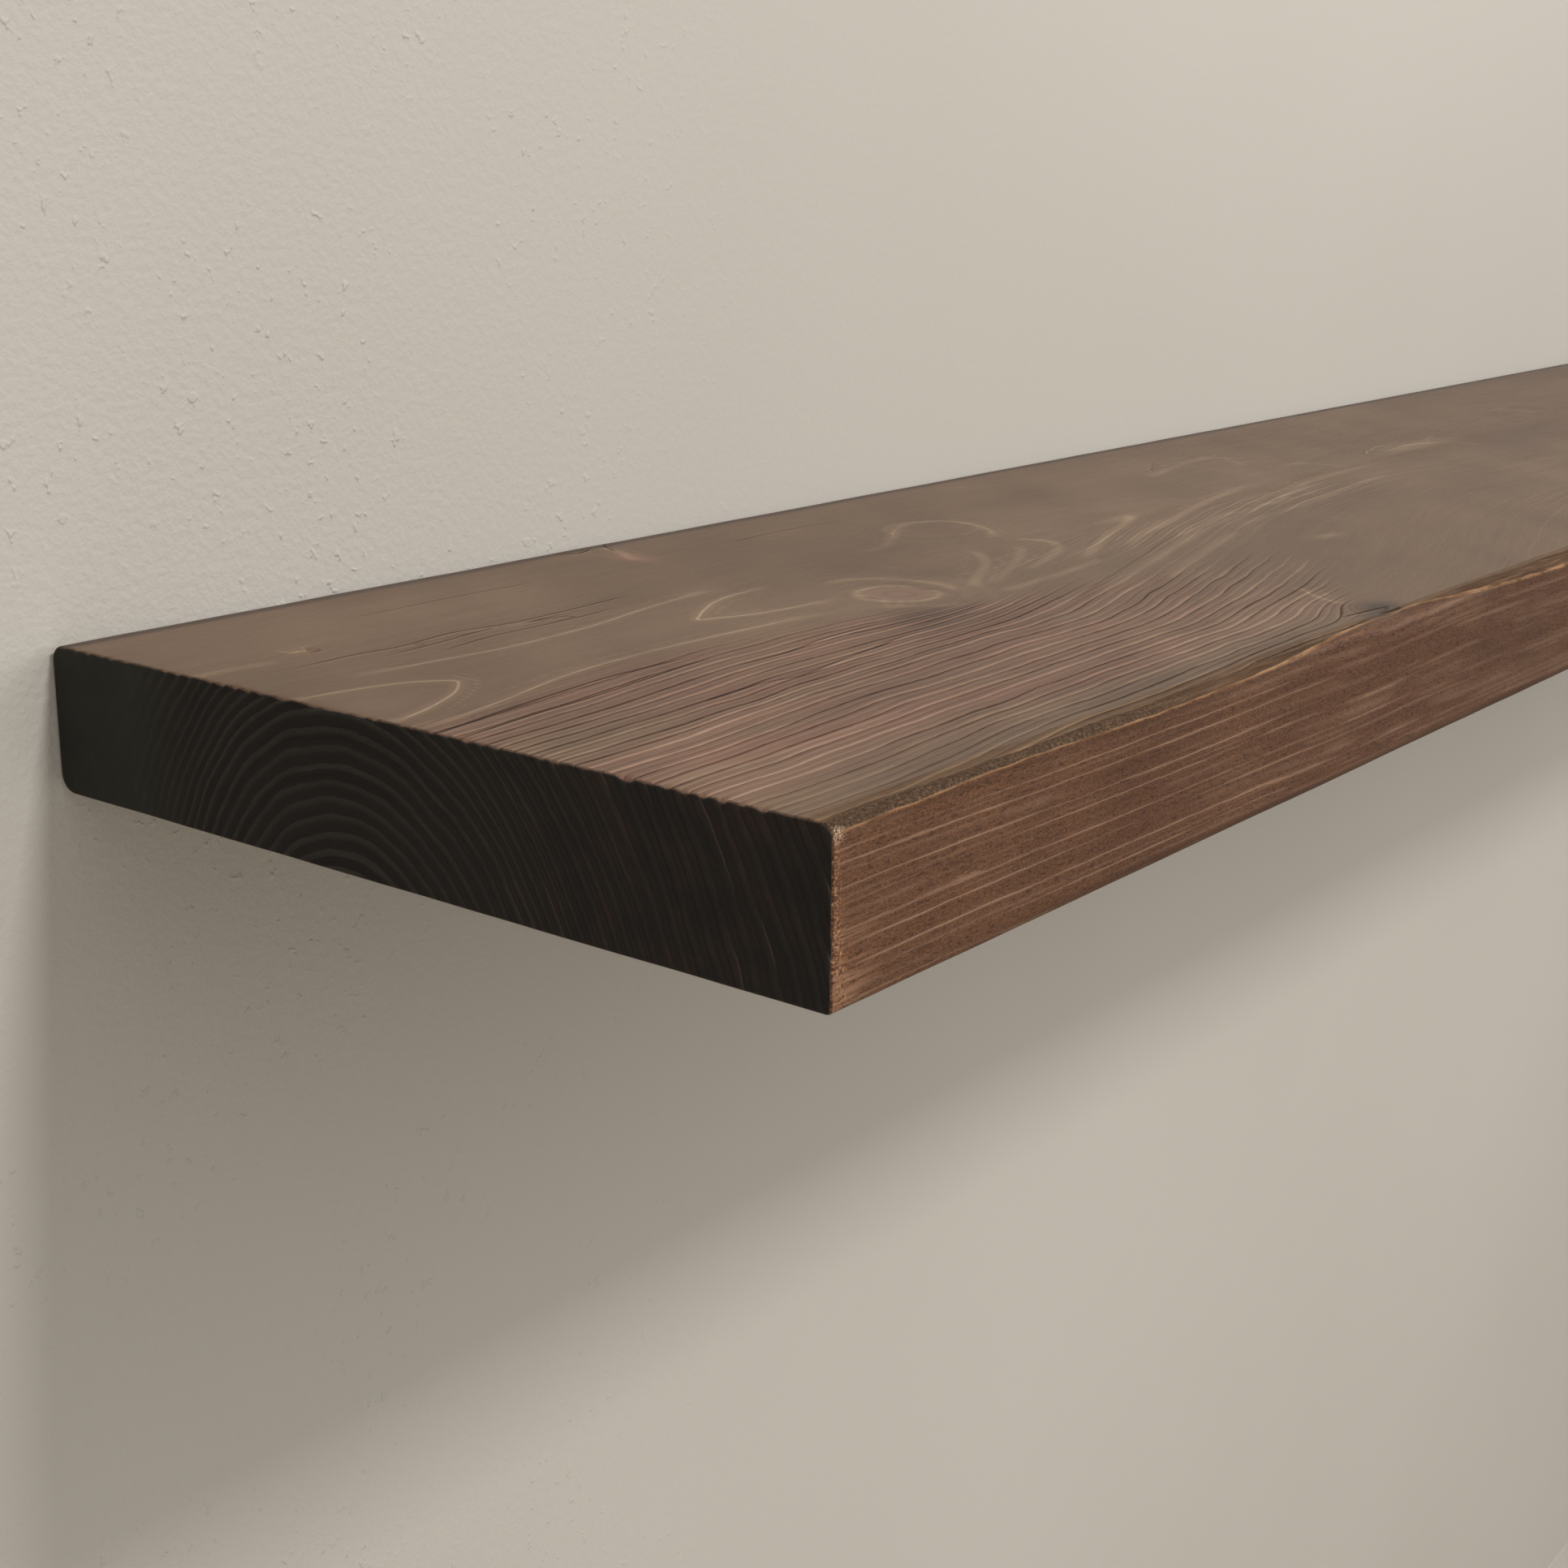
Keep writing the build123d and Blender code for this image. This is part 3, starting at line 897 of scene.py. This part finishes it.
class Graph:
    """Builds the nodes round the shader of a new material, or of a new world."""

    def __init__(self, name, kind="materials", shader="Principled BSDF", space="Object"):
        self.owner = getattr(bpy.data, kind).new(name)
        self.owner.use_nodes = True
        self.nodes = self.owner.node_tree.nodes
        self.shader = self.nodes[shader]
        self.place = self.value("TexCoord", (), space)

    def set(self, node, socket, value):
        """Links or sets one input."""
        taken = node.inputs[socket]
        if isinstance(value, Value):
            self.owner.node_tree.links.new(value.socket, taken)
        else:
            taken.default_value = (*value, 1) if taken.type == "RGBA" else value

    def value(self, kind, inputs=(), output=0, **settings):
        """An output of a new node. inputs are its first ones, or a dictionary by socket."""
        node = self.nodes.new(f"ShaderNode{kind}")
        for name, setting in settings.items():
            setattr(node, name, setting)
        inputs = inputs if isinstance(inputs, dict) else dict(enumerate(inputs))
        for socket, value in inputs.items():
            self.set(node, socket, value)
        return Value(self, node.outputs[output])

    def math(self, operation, *inputs):
        """What one Math node makes of its inputs."""
        return self.value("Math", inputs, operation=operation)

    def field(self, name):
        """One of the numbers that each vertex of the mesh carries."""
        return self.value("Attribute", (), "Fac", attribute_name=name)

    def parts(self, vector):
        """The X, Y and Z of a vector."""
        node = self.value("SeparateXYZ", (vector,)).socket.node
        return [Value(self, output) for output in node.outputs]

    def noise(self, vector, detail=2.0, roughness=0.5, distortion=0.0):
        """Noise of scale 1 at a vector, or at three values in a tuple."""
        if isinstance(vector, tuple):
            vector = self.value("CombineXYZ", vector)
        inputs = {
            "Vector": vector, "Scale": 1.0, "Detail": detail, "Roughness": roughness,
            "Distortion": distortion,
        }
        return self.value("TexNoise", inputs)

    def between(self, value, low, high, out_low=0.0, out_high=1.0):
        """value taken from the range low..high to out_low..out_high, smoothly and clamped."""
        inputs = (value, low, high, out_low, out_high)
        return self.value("MapRange", inputs, interpolation_type="SMOOTHSTEP")

    def band(self, value, low, full, wane, high):
        """1 from full to wane, falling smoothly to 0 at low and at high."""
        return self.between(value, low, full) * self.between(value, wane, high, 1, 0)

    def blend(self, share, a, b):
        """a where share is 0, b where it is 1."""
        return a * (1 - share) + b * share

    def mix(self, share, a, b, blend="MIX"):
        """Colour a where share is 0, b where it is 1."""
        inputs = {0: share, 6: a, 7: b}
        return self.value("Mix", inputs, 2, data_type="RGBA", blend_type=blend)

    def tinted(self, share, colour, tint):
        """colour multiplied by tint as far as share goes."""
        return self.mix(share, colour, tint, "MULTIPLY")

    def colours(self, value, *stops):
        """A colour ramp through stops, each a place and a red, green and blue."""
        made = self.value("ValToRGB", (value,))
        elements = made.socket.node.color_ramp.elements
        while len(elements) < len(stops):
            elements.new(0.5)
        for element, (place, *colour) in zip(elements, stops):
            element.position = place
            element.color = (*colour, 1)
        return made

    def bump(self, height, distance, strength):
        """A bumped normal; distance is in mm."""
        inputs = {"Height": height, "Distance": distance * MM, "Strength": strength}
        return self.value("Bump", inputs)

    def finish(self, **inputs):
        """Sets the shader's inputs, named with underscores for spaces, and gives the owner."""
        for name, value in inputs.items():
            self.set(self.shader, name.replace("_", " "), value)
        return self.owner


STAIN_DEEP = (0.028, 0.017, 0.011)
STAIN_DARK = (0.084, 0.046, 0.026)
STAIN_MID = (0.153, 0.089, 0.050)
STAIN_LIGHT = (0.248, 0.159, 0.094)
STAIN_RUBBED = (0.400, 0.285, 0.190)
FLUSH_TINT = (1.10, 0.90, 0.98)
KNOT_HEART = (0.232, 0.130, 0.086)
FRONT_TINT = (0.86, 0.645, 0.565)
FRONT_FAR_TINT = (0.76, 0.75, 0.72)
FRONT_LINE = (0.350, 0.208, 0.132)
LOW_EDGE_SHADE = (0.060, 0.026, 0.012)
REAR_CONTACT_SHADE = (0.048, 0.024, 0.016)
WORN_LIGHT = (0.500, 0.280, 0.145)
COMBED_STREAK = (0.31, 0.165, 0.096)
RUBBED_CORNER = (0.58, 0.40, 0.27)
END_RED_TINT = (1.6, 1.05, 0.9)
END_GREEN_SHEEN_TINT = (1.35, 1.55, 1.45)
END_SPARK = (0.12, 0.070, 0.050)
wane_zone = 7.0  # how far in from the front face the wane's own fields hold
timber_bump = 0.35


def stained_timber():
    """Brushed softwood under a dark brown stain: soft wood lower and darker, rings lighter."""
    g = Graph("stained_timber")
    place = g.place / (MM, MM, MM)
    x, y, z = g.parts(place)
    ring, end, rise, bared, worn = map(g.field, ("ring", "end", "rise", "bared", "worn"))
    grooved, lined, core = map(g.field, ("groove", "line", "core"))
    side = 1 - end
    by_wane = g.math("LESS_THAN", y, wane_zone - depth) * g.math("GREATER_THAN", z, 0.0) * side
    front = g.math("GREATER_THAN", g.field("front"), 0.5)
    front = g.blend(by_wane, front, g.between(rise, 0.08, -0.08))
    wane = by_wane * (1 - front) * g.between(bared, 0.15, -0.15)
    from_left = x - left_end
    from_end = g.math("MINIMUM", from_left, left_end + length - x)
    lines = g.blend(front, ring, g.field("front_ring"))
    spacing = g.blend(front, g.field("spacing"), front_line_pitch)
    along = g.value("CombineXYZ", (x, ring * 3.5, z))
    streaks = g.noise(along / (60, 1.6, 1.6), 3, 0.6)
    fibres = g.noise(along / (9, 0.32, 0.36), 3, 0.7)
    patches = g.noise(along / (30, 9, 9), 3, 0.55)
    grit = g.noise(place / (0.8, 0.5, 0.4), 3, 0.75)
    specks = g.noise(place / (0.5, 0.4, 0.4), 2, 0.6)

    # Where a ring's edge crosses the skin: which edge is nearest and how far off it is, in mm.
    # Every second edge is a finer one between two rings.
    jitter = g.noise(g.value("CombineXYZ", (x, lines)) / (16, 0.5, 1), 4, 0.55)
    wobble = (jitter - 0.5) * 0.5
    edges = lines * 2 + wobble
    edge = g.math("ROUND", edges)
    off = (edges - edge) * spacing * 0.5
    finer = g.math("FRACT", abs(edge) * 0.5) * 2
    chance = g.noise((x / 70, edge * 5.37, 0.5), 3)
    width = g.between(g.noise((x / 24, edge * 3.1, 4.0)), 0.3, 0.7)
    strong = g.between(chance, 0.36, 0.64) * (1 - finer * 0.6)
    groove = g.band(off, -0.08, 0.15, 0.22, 0.46 + width * 0.45) * strong
    groove = groove * (grooved + (front * 0.10 + lined * 0.35))
    hard = g.band(off * -1, -0.05, 0.30, 0.50, 0.95 + width * 0.8)
    hard = hard * g.between(chance, 0.68, 0.44) * lined * (1 - finer * 0.55)

    # The front's light lines are as thin as a hair, and broken.
    broken = g.noise((x / 60, edge * 2.9, 1.0), 3)
    aside = abs(off)
    hair = g.between(aside, 0.08, 0.24 + width * 0.16, 1, 0)
    hair = hair * g.between(broken, 0.34, 0.66) * (1 - finer * 0.75)
    hair = hair * g.between(from_left, 170, 330, 1, 0.15)
    broad = g.between(aside, 0.2, 1.3, 1, 0) * g.between(broken, 0.42, 0.62)
    broad = broad * (0.12 + g.between(from_left, 90, 240) * 0.30)
    hair = (hair + broad) * front
    dashes = g.between(g.noise(place / (2.6, 0.6, 0.55), 3, 0.6), 0.52, 0.66)
    dashes = dashes * (0.25 + front * 0.75)

    # Lines drawn on the top.
    light_off = abs(g.field("light_offset") + wobble)
    light_share = g.field("light_share")
    sharp = g.between(light_off, 0.14, 0.55, 1, 0) * g.between(light_share, 0.62, 0.85)
    glow = g.between(light_off, 0.2, 3.0, 1, 0) * g.between(light_share, 0.62, 0.85, 0.66, 0.22)
    drawn = (sharp * 0.62 + glow) * light_share * g.between(patches, 0.3, 0.6, 0.75, 1.1)
    dark_off = g.field("dark_offset") + wobble
    scratch_with_highlight = g.between(abs(dark_off), 0.12, 0.55, 1, 0)
    # The dark scratches get a painted highlight: a light band along one side of each, where the
    # groove's wall would catch the light.
    scratch_with_highlight = (scratch_with_highlight - g.band(dark_off, 0.4, 0.8, 1.1, 1.8) * 0.45) * g.field("dark_share")

    value = g.field("tone") + (streaks - 0.5) * 0.18 + (patches - 0.5) * 0.10
    value += (fibres - 0.5) * (0.15 + grooved * 0.16) + (grit - 0.5) * (0.14 + front * 0.80)
    value += (specks - 0.5) * front * 0.45 - dashes * 0.20
    value += hard * 0.54 + drawn * 0.50 - groove * 0.27 - scratch_with_highlight * 0.38
    knot_line = g.band(g.math("FRACT", g.field("knot_ring")), 0.45, 0.8, 0.85, 1.0)
    value += (knot_line - 0.1) * core * -0.14
    colour = g.colours(
        value, (0.0, *STAIN_DEEP), (0.27, *STAIN_DARK), (0.5, *STAIN_MID), (0.74, *STAIN_LIGHT),
        (1.0, *STAIN_RUBBED),
    )
    colour = g.tinted(g.field("flush") * 0.95, colour, FLUSH_TINT)
    shaded = g.colours(value, (0.2, 0.6, 0.6, 0.6), (0.8, 1.25, 1.25, 1.25))
    colour = g.mix(core * 0.68, colour, g.tinted(1.0, KNOT_HEART, shaded))
    colour = g.tinted(front, colour, FRONT_TINT)
    colour = g.tinted(front * g.between(from_left, 120, 380), colour, FRONT_FAR_TINT)
    colour = g.mix(hair * g.between(from_left, 0, 260, 0.8, 0.5), colour, FRONT_LINE)
    # Painted shade: a dark band along the front face's bottom edge, over its rounded arris, weaker
    # near the left end.
    low_edge_shade = g.between(z, 3.0 - half, 1.0 - half) * g.between(y, 5 - depth, 2 - depth)
    low_edge_shade = low_edge_shade * g.between(from_left, 20, 120, 0.15, 0.8)
    colour = g.mix(low_edge_shade, colour, LOW_EDGE_SHADE)
    # Painted shade: a thin dark line along the top's rear edge by the wall, where the rounded arris
    # turns away from the light and meets the wall.
    rear_contact_shade = g.between(y, -8.5, -5.5) * g.between(z, half - 1.8, half - 0.8)
    colour = g.mix(rear_contact_shade * 0.85, colour, REAR_CONTACT_SHADE)

    # The bared wane is rough and grey-brown near the left end, streaked brown further along.
    coarse = g.noise(place / (0.8, 0.6, 0.6), 3, 0.8)
    rough = g.colours(
        coarse, (0.32, 0.040, 0.024, 0.015), (0.5, 0.084, 0.050, 0.030), (0.68, 0.19, 0.118, 0.072)
    )
    rubbed = g.noise((x / 18, rise / 0.8, 3.0), 3)
    streaked = g.colours(
        rubbed, (0.34, 0.070, 0.038, 0.021), (0.52, 0.115, 0.064, 0.036), (0.68, 0.17, 0.100, 0.058)
    )
    colour = g.mix(wane, colour, g.mix(g.between(from_left, 95, 150), rough, streaked))

    # Thin worn lines bound the bared wane, below and above.
    shade = g.band(rise, -1.5, -1.1, -0.8, -0.3) * front
    colour = g.mix(shade * 0.4, colour, STAIN_DARK)
    below = g.between(abs(rise - worn * 0.3), worn * 0.25, worn * 0.8, 1, 0)
    below = below * by_wane * g.between(worn, 0.25, 0.6, 0.35, 1)
    gaps = g.between(g.noise((x / 9, rise * 0.5, 9.0), 3), 0.36, 0.58)
    past_corner = g.between(from_left, 226, 240)
    below = below * g.blend(past_corner, g.between(gaps, 0, 1, 0.55, 1), gaps * 0.62)
    above = g.between(abs(bared), 0.12, 0.36, 1, 0) * g.between(from_left, 170, 140)
    above = above * by_wane * 0.6 * g.between(streaks, 0.35, 0.6)
    bounds = g.math("MAXIMUM", below, above) * g.between(grit, 0.25, 0.5, 0.55, 1)
    worn_colour = g.colours(rubbed, (0.32, 0.20, 0.100, 0.050), (0.66, *WORN_LIGHT))
    colour = g.mix(bounds * side, colour, worn_colour)

    # The near upright arris is worn to speckled warm timber, with combed streaks low down.
    arris = from_end - (grit - 0.5) * 4.0 + g.between(z, 12, -14, 1.3, -2.0)
    arris = g.between(arris, 1.2, 4.6, 1, 0) * front
    fleck = g.colours(
        coarse, (0.34, 0.030, 0.014, 0.009), (0.46, 0.15, 0.062, 0.030), (0.56, 0.32, 0.155, 0.075),
        (0.68, 0.62, 0.37, 0.21),
    )
    colour = g.mix(arris * 0.85, colour, fleck)
    combed = g.between(g.noise((x / 20, 2.0, z / 0.85)), 0.47, 0.60)
    combed = combed * g.between(from_end, 4.0, 17, 1, 0) * front * g.between(z, 2, -7)
    colour = g.mix(combed * 0.75, colour, COMBED_STREAK)
    corner = g.between(from_end, 1.5, 5.0, 1, 0) * g.band(rise, -2.5, -0.5, 0.5, 2.0)
    corner = corner * by_wane * g.between(specks, 0.46, 0.58)
    colour = g.mix(corner * side, colour, RUBBED_CORNER)

    # End grain drinks the stain and turns nearly black: each ring brightens outwards to a thin
    # crest and then drops to a dark line.
    pores = g.noise(place * (2.2, 2.2, 2.2), 4, 0.75)
    waver = g.noise(place / (30, 13, 13), 3)
    phase = g.math("FRACT", ring + (jitter * 0.2 + waver * 0.6))
    seen = g.between(y, -190, -105, 0.55, 1) * g.between(y, -62, -22, 1, 0)
    seen = seen * (0.55 + strong * 0.6)
    halfway = g.band(g.math("FRACT", phase + 0.55), 0.35, 0.80, 0.86, 1.0)
    crest = g.band(phase, 0.22, 0.84, 0.89, 0.98) + halfway * g.between(y, -105, -150, 0, 0.55)
    crest = crest * g.between(fibres, 0.3, 0.6, 0.75, 1.1)
    end_value = 0.40 + (pores - 0.5) * 0.22 + (patches - 0.5) * 0.22
    end_value += (crest - 0.40) * seen * 0.46
    end_colour = g.colours(
        end_value, (0.0, 0.0055, 0.0044, 0.0037), (0.42, 0.0195, 0.0162, 0.0139),
        (1.0, 0.073, 0.061, 0.051),
    )
    reddish = g.between(y, -120, -185) * g.between(patches, 0.48, 0.62)
    end_colour = g.tinted(reddish * 0.4, end_colour, END_RED_TINT)
    # Painted sheen: the end's rear part, by the wall, is made lighter and greener.
    end_colour = g.tinted(g.between(y, -52, -30), end_colour, END_GREEN_SHEEN_TINT)
    spark = g.band(phase, 0.84, 0.90, 0.94, 0.99)
    spark = spark * g.between(g.noise((edge * 3.3, z / 30, 7.0)), 0.56, 0.64)
    spark = spark * g.between(y, -120, -165) * 0.5
    end_colour = g.mix(spark, end_colour, END_SPARK)
    colour = g.mix(end, colour, end_colour)
    chipped = g.between(from_end, 1.0, 0.4) * side * g.between(grit + specks * 0.5, 0.45, 0.75)
    bits = g.colours(
        coarse, (0.40, 0.030, 0.014, 0.008), (0.58, 0.080, 0.036, 0.019), (0.66, 0.26, 0.130, 0.070)
    )
    colour = g.mix(chipped * 0.85, colour, bits)

    height = fibres * 0.25 + streaks * 0.15 + grit * (0.14 + front * 0.12)
    height += hard * 0.60 + drawn * 0.30 - (groove + scratch_with_highlight) * 0.55 - dashes * 0.25
    height += specks * wane * 0.9 + (pores + crest * seen) * end * 0.4
    hollow = g.math("MAXIMUM", groove, scratch_with_highlight)
    roughness = 0.47 + (fibres - 0.5) * 0.25 + hollow * 0.3 + end * 0.2 + wane * 0.25
    bare = by_wane * g.between(rise, -1.2, 0.2)
    shine = (0.46 - end * 0.30) * (1 - hollow * 0.5) * (1 - bare * 0.85) * (1 - front * 0.7)
    return g.finish(
        Base_Color=colour, Roughness=roughness, Specular_IOR_Level=shine, IOR=1.46,
        Normal=g.bump(height, timber_bump, 0.7),
    )


def raw_timber():
    """Bare softwood inside the bores and recesses."""
    g = Graph("raw_timber")
    fibres = g.noise(g.place * (60, 1600, 1600), 4, 0.65)
    value = fibres * 0.6 + g.noise(g.place * (8, 220, 220)) * 0.4
    colour = g.colours(
        value, (0.3, 0.42, 0.27, 0.14), (0.55, 0.60, 0.43, 0.25), (0.75, 0.70, 0.54, 0.34)
    )
    return g.finish(Base_Color=colour, Roughness=0.75, Normal=g.bump(fibres, 0.3, 0.5))


def coat(name, broad, fine, stops, roughness, bump, **inputs):
    """A fixing's material of two noises: the broad one colours it, the fine one is its skin.

    Each noise is its cells to the metre along x, y and z and its detail, roughness and
    distortion. roughness is a base and the share of each noise in it, bump a height in mm and a
    strength.
    """
    g = Graph(name)
    noises = [g.noise(g.place * cells, *rest) for cells, *rest in (broad, fine)]
    skin, *shares = roughness
    for noise, share in zip(noises, shares):
        skin = skin + noise * share if share else skin
    return g.finish(
        Base_Color=g.colours(noises[0], *stops), Roughness=skin, Normal=g.bump(noises[1], *bump),
        **inputs,
    )


def zinc_plate():
    """Bright zinc on rolled steel: faint drawn lines and cloudy spangle."""
    return coat(
        "zinc_plated_steel", ((180, 180, 180), 4, 0.6), ((2600, 90, 2600), 3, 0.6),
        [(0.3, 0.50, 0.51, 0.53), (0.55, 0.64, 0.65, 0.66), (0.75, 0.74, 0.75, 0.75)],
        (0.24, 0.12, 0.14), (0.05, 0.35), Metallic=1.0,
    )


def yellow_zinc():
    """Yellow passivated zinc, drifting between straw and faint rose."""
    return coat(
        "yellow_zinc_screw", ((260, 260, 260), 3, 0.55), ((2400, 1200, 2400), 3, 0.6),
        [(0.3, 0.70, 0.50, 0.20), (0.5, 0.78, 0.63, 0.32), (0.62, 0.74, 0.60, 0.42),
         (0.75, 0.62, 0.62, 0.42)],
        (0.26, 0, 0.16), (0.04, 0.3), Metallic=1.0,
    )


def grey_nylon():
    """Moulded grey nylon with a faint flow pattern and satin skin."""
    return coat(
        "grey_nylon", ((220, 60, 220), 3, 0.5, 0.6), ((3000, 3000, 3000),),
        [(0.3, 0.235, 0.245, 0.255), (0.6, 0.285, 0.295, 0.305), (0.8, 0.32, 0.33, 0.335)],
        (0.42, 0.16), (0.03, 0.4), Subsurface_Weight=0.05,
    )


def turned_brass():
    """Turned brass with fine tool rings and a little tarnish."""
    return coat(
        "brass", ((500, 500, 500), 4, 0.6), ((300, 300, 9000),),
        [(0.3, 0.48, 0.33, 0.13), (0.55, 0.72, 0.53, 0.24), (0.75, 0.80, 0.64, 0.34)],
        (0.22, 0.22), (0.04, 0.4), Metallic=1.0,
    )


def black_oxide():
    """Oiled black oxide on a small steel screw, thin at its edges."""
    return coat(
        "blackened_steel", ((700, 700, 700), 4, 0.6), ((4000, 4000, 4000), 3),
        [(0.3, 0.020, 0.020, 0.022), (0.6, 0.045, 0.045, 0.047), (0.8, 0.085, 0.080, 0.074)],
        (0.30, 0.14, 0.1), (0.03, 0.4), Metallic=0.75,
    )


def dress(prefix, material, make=None):
    """Gives a material to the CAD nodes whose names start so, and makes their shown pieces."""
    for name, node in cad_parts.items():
        if name.startswith(prefix):
            node.data.materials.clear()
            node.data.materials.append(material)
            if make:
                make(name, material)


# ---------------------------------------------------------------- the stage

wall_half_width = 1650.0
wall_rise = 1250.0
wall_gap = 0.3
floor_drop = 850.0
floor_half = 6000.0
see_through_reach = 1.5  # a ray that starts closer to the wall than this passes it


def plastered_wall():
    """The wall's paint, see-through from behind so that the fixings can be looked at."""
    g = Graph("wall_paint")
    cloud = g.noise(g.place * (2.2, 2.2, 2.2), 3)
    nap = g.noise(g.place * (420, 420, 420), 4, 0.6)
    colour = g.colours(cloud, (0.3, 0.590, 0.545, 0.478), (0.7, 0.625, 0.580, 0.512))

    # Left of the shelf the plaster is coarser, and a few of its grains stand out of the paint.
    x, _, _ = g.parts(g.place)
    grains = g.between(g.noise(g.place * (210, 210, 210), 2, 0.6), 0.63, 0.71)
    grains = grains * g.between(x, -0.32, -0.52)
    grains = grains * g.between(g.noise(g.place * (14, 14, 14)), 0.44, 0.56)
    height = nap * g.between(x, -0.28, -0.60, 0.3, 1.3) + grains * 1.3
    g.finish(Base_Color=colour, Roughness=0.9, Normal=g.bump(height, 0.8, 0.4))
    ray_length = g.value("LightPath", output="Ray Length")
    passed = g.math("MAXIMUM", g.value("NewGeometry", output="Backfacing"),
                    g.math("LESS_THAN", ray_length, see_through_reach * MM))
    painted = Value(g, g.shader.outputs[0])
    seen = g.value("MixShader", (passed, painted, g.value("BsdfTransparent")))
    g.set(g.nodes["Material Output"], "Surface", seen)
    return g.owner


def pale_floor():
    """The floor's paint."""
    g = Graph("floor_paint")
    cloud = g.noise(g.place * (1.5, 1.5, 1.5), 3)
    colour = g.colours(cloud, (0.3, 0.60, 0.56, 0.50), (0.7, 0.64, 0.60, 0.54))
    return g.finish(Base_Color=colour, Roughness=0.85)


def sheet(name, corners, material):
    """The mesh of a flat four-cornered piece."""
    mesh = mesh_of(name, corners, [(0, 1, 2, 3)])
    mesh.materials.append(material)
    return mesh


def make_stage():
    """A pale wall just behind the shelf, and a pale floor below."""
    around = ((-1, -1), (1, -1), (1, 1), (-1, 1))
    heights = {-1: -floor_drop, 1: wall_rise}
    wall = [(i * wall_half_width, wall_gap, heights[j]) for i, j in around]
    floor = [(i * floor_half, j * floor_half, -floor_drop) for i, j in around]
    wall_mesh = sheet("wall", wall, plastered_wall())
    floor_mesh = sheet("floor", floor, pale_floor())
    add_object("wall", wall_mesh)
    add_object("floor", floor_mesh)


# ---------------------------------------------------------------- light and camera

# Lamps: name, watts, size, and place, in metres.
lamps = (
    ("high", 13.5, 0.2, (-0.4, -1.4, 1.15)),
    ("low", 5.3, 0.8, (0.5, -1.1, 0.5)),
)
lamps_look_at = Vector((-0.2, 0, 0))
sky_colour = (0.58, 0.575, 0.57)
ground_colour = (0.08, 0.079, 0.077)
backdrop_colour = (0.80, 0.78, 0.74)

camera_place = (-0.89356, -0.44713, 0.12795)
camera_yaw = 51.595
camera_pitch = 15.679
camera_roll = 0.387
camera_focal_pixels = 2795.3
picture_size = 1932.0
sensor_width = 36.0


def make_lights():
    """Two lamps in front of the shelf, a small high one and a broad low one, in an even room."""
    for name, watts, size, place in lamps:
        lamp = bpy.data.lights.new(name, "AREA")
        lamp.energy = watts
        lamp.size = size
        made = add_object(name, lamp)
        made.location = place
        made.rotation_mode = "QUATERNION"
        made.rotation_quaternion = (lamps_look_at - made.location).to_track_quat("-Z", "Y")
    bpy.context.scene.world = room_light()


def room_light():
    """An even room, lighter above than below, that shows the camera a plain pale backdrop."""
    g = Graph("room", "worlds", "Background", "Generated")
    _, _, height = g.parts(g.place)
    sky = g.mix(g.between(height, -0.5, 0.5), ground_colour, sky_colour)
    seen_by_camera = g.value("LightPath", output="Is Camera Ray")
    return g.finish(Color=g.mix(seen_by_camera, sky, backdrop_colour))


def make_camera():
    """The photograph's camera: its place and angles come from fitting the board's outline."""
    camera = bpy.data.cameras.new("camera")
    camera.sensor_width = sensor_width
    camera.lens = camera_focal_pixels / picture_size * sensor_width
    camera.clip_start = 0.01
    camera.clip_end = 50.0
    turn = Matrix.Identity(4)
    for degrees, axis in ((-camera_yaw, "Z"), (90 - camera_pitch, "X"), (camera_roll, "Z")):
        turn = turn @ Matrix.Rotation(math.radians(degrees), 4, axis)
    made = add_object("camera", camera)
    made.matrix_world = Matrix.Translation(camera_place) @ turn
    bpy.context.scene.camera = made


# ---------------------------------------------------------------- the scene

bpy.context.scene.view_settings.view_transform = "Standard"
make_camera()
make_lights()
make_stage()
make_board(stained_timber(), raw_timber())
zinc = zinc_plate()
dress("wall_plate", zinc)
dress("support_rod", zinc, make_rod)
dress("wall_screw", yellow_zinc(), make_wall_screw)
dress("wall_plug", grey_nylon(), make_plug)
dress("thread_insert", turned_brass())
dress("lock_screw", black_oxide(), make_lock_screw)
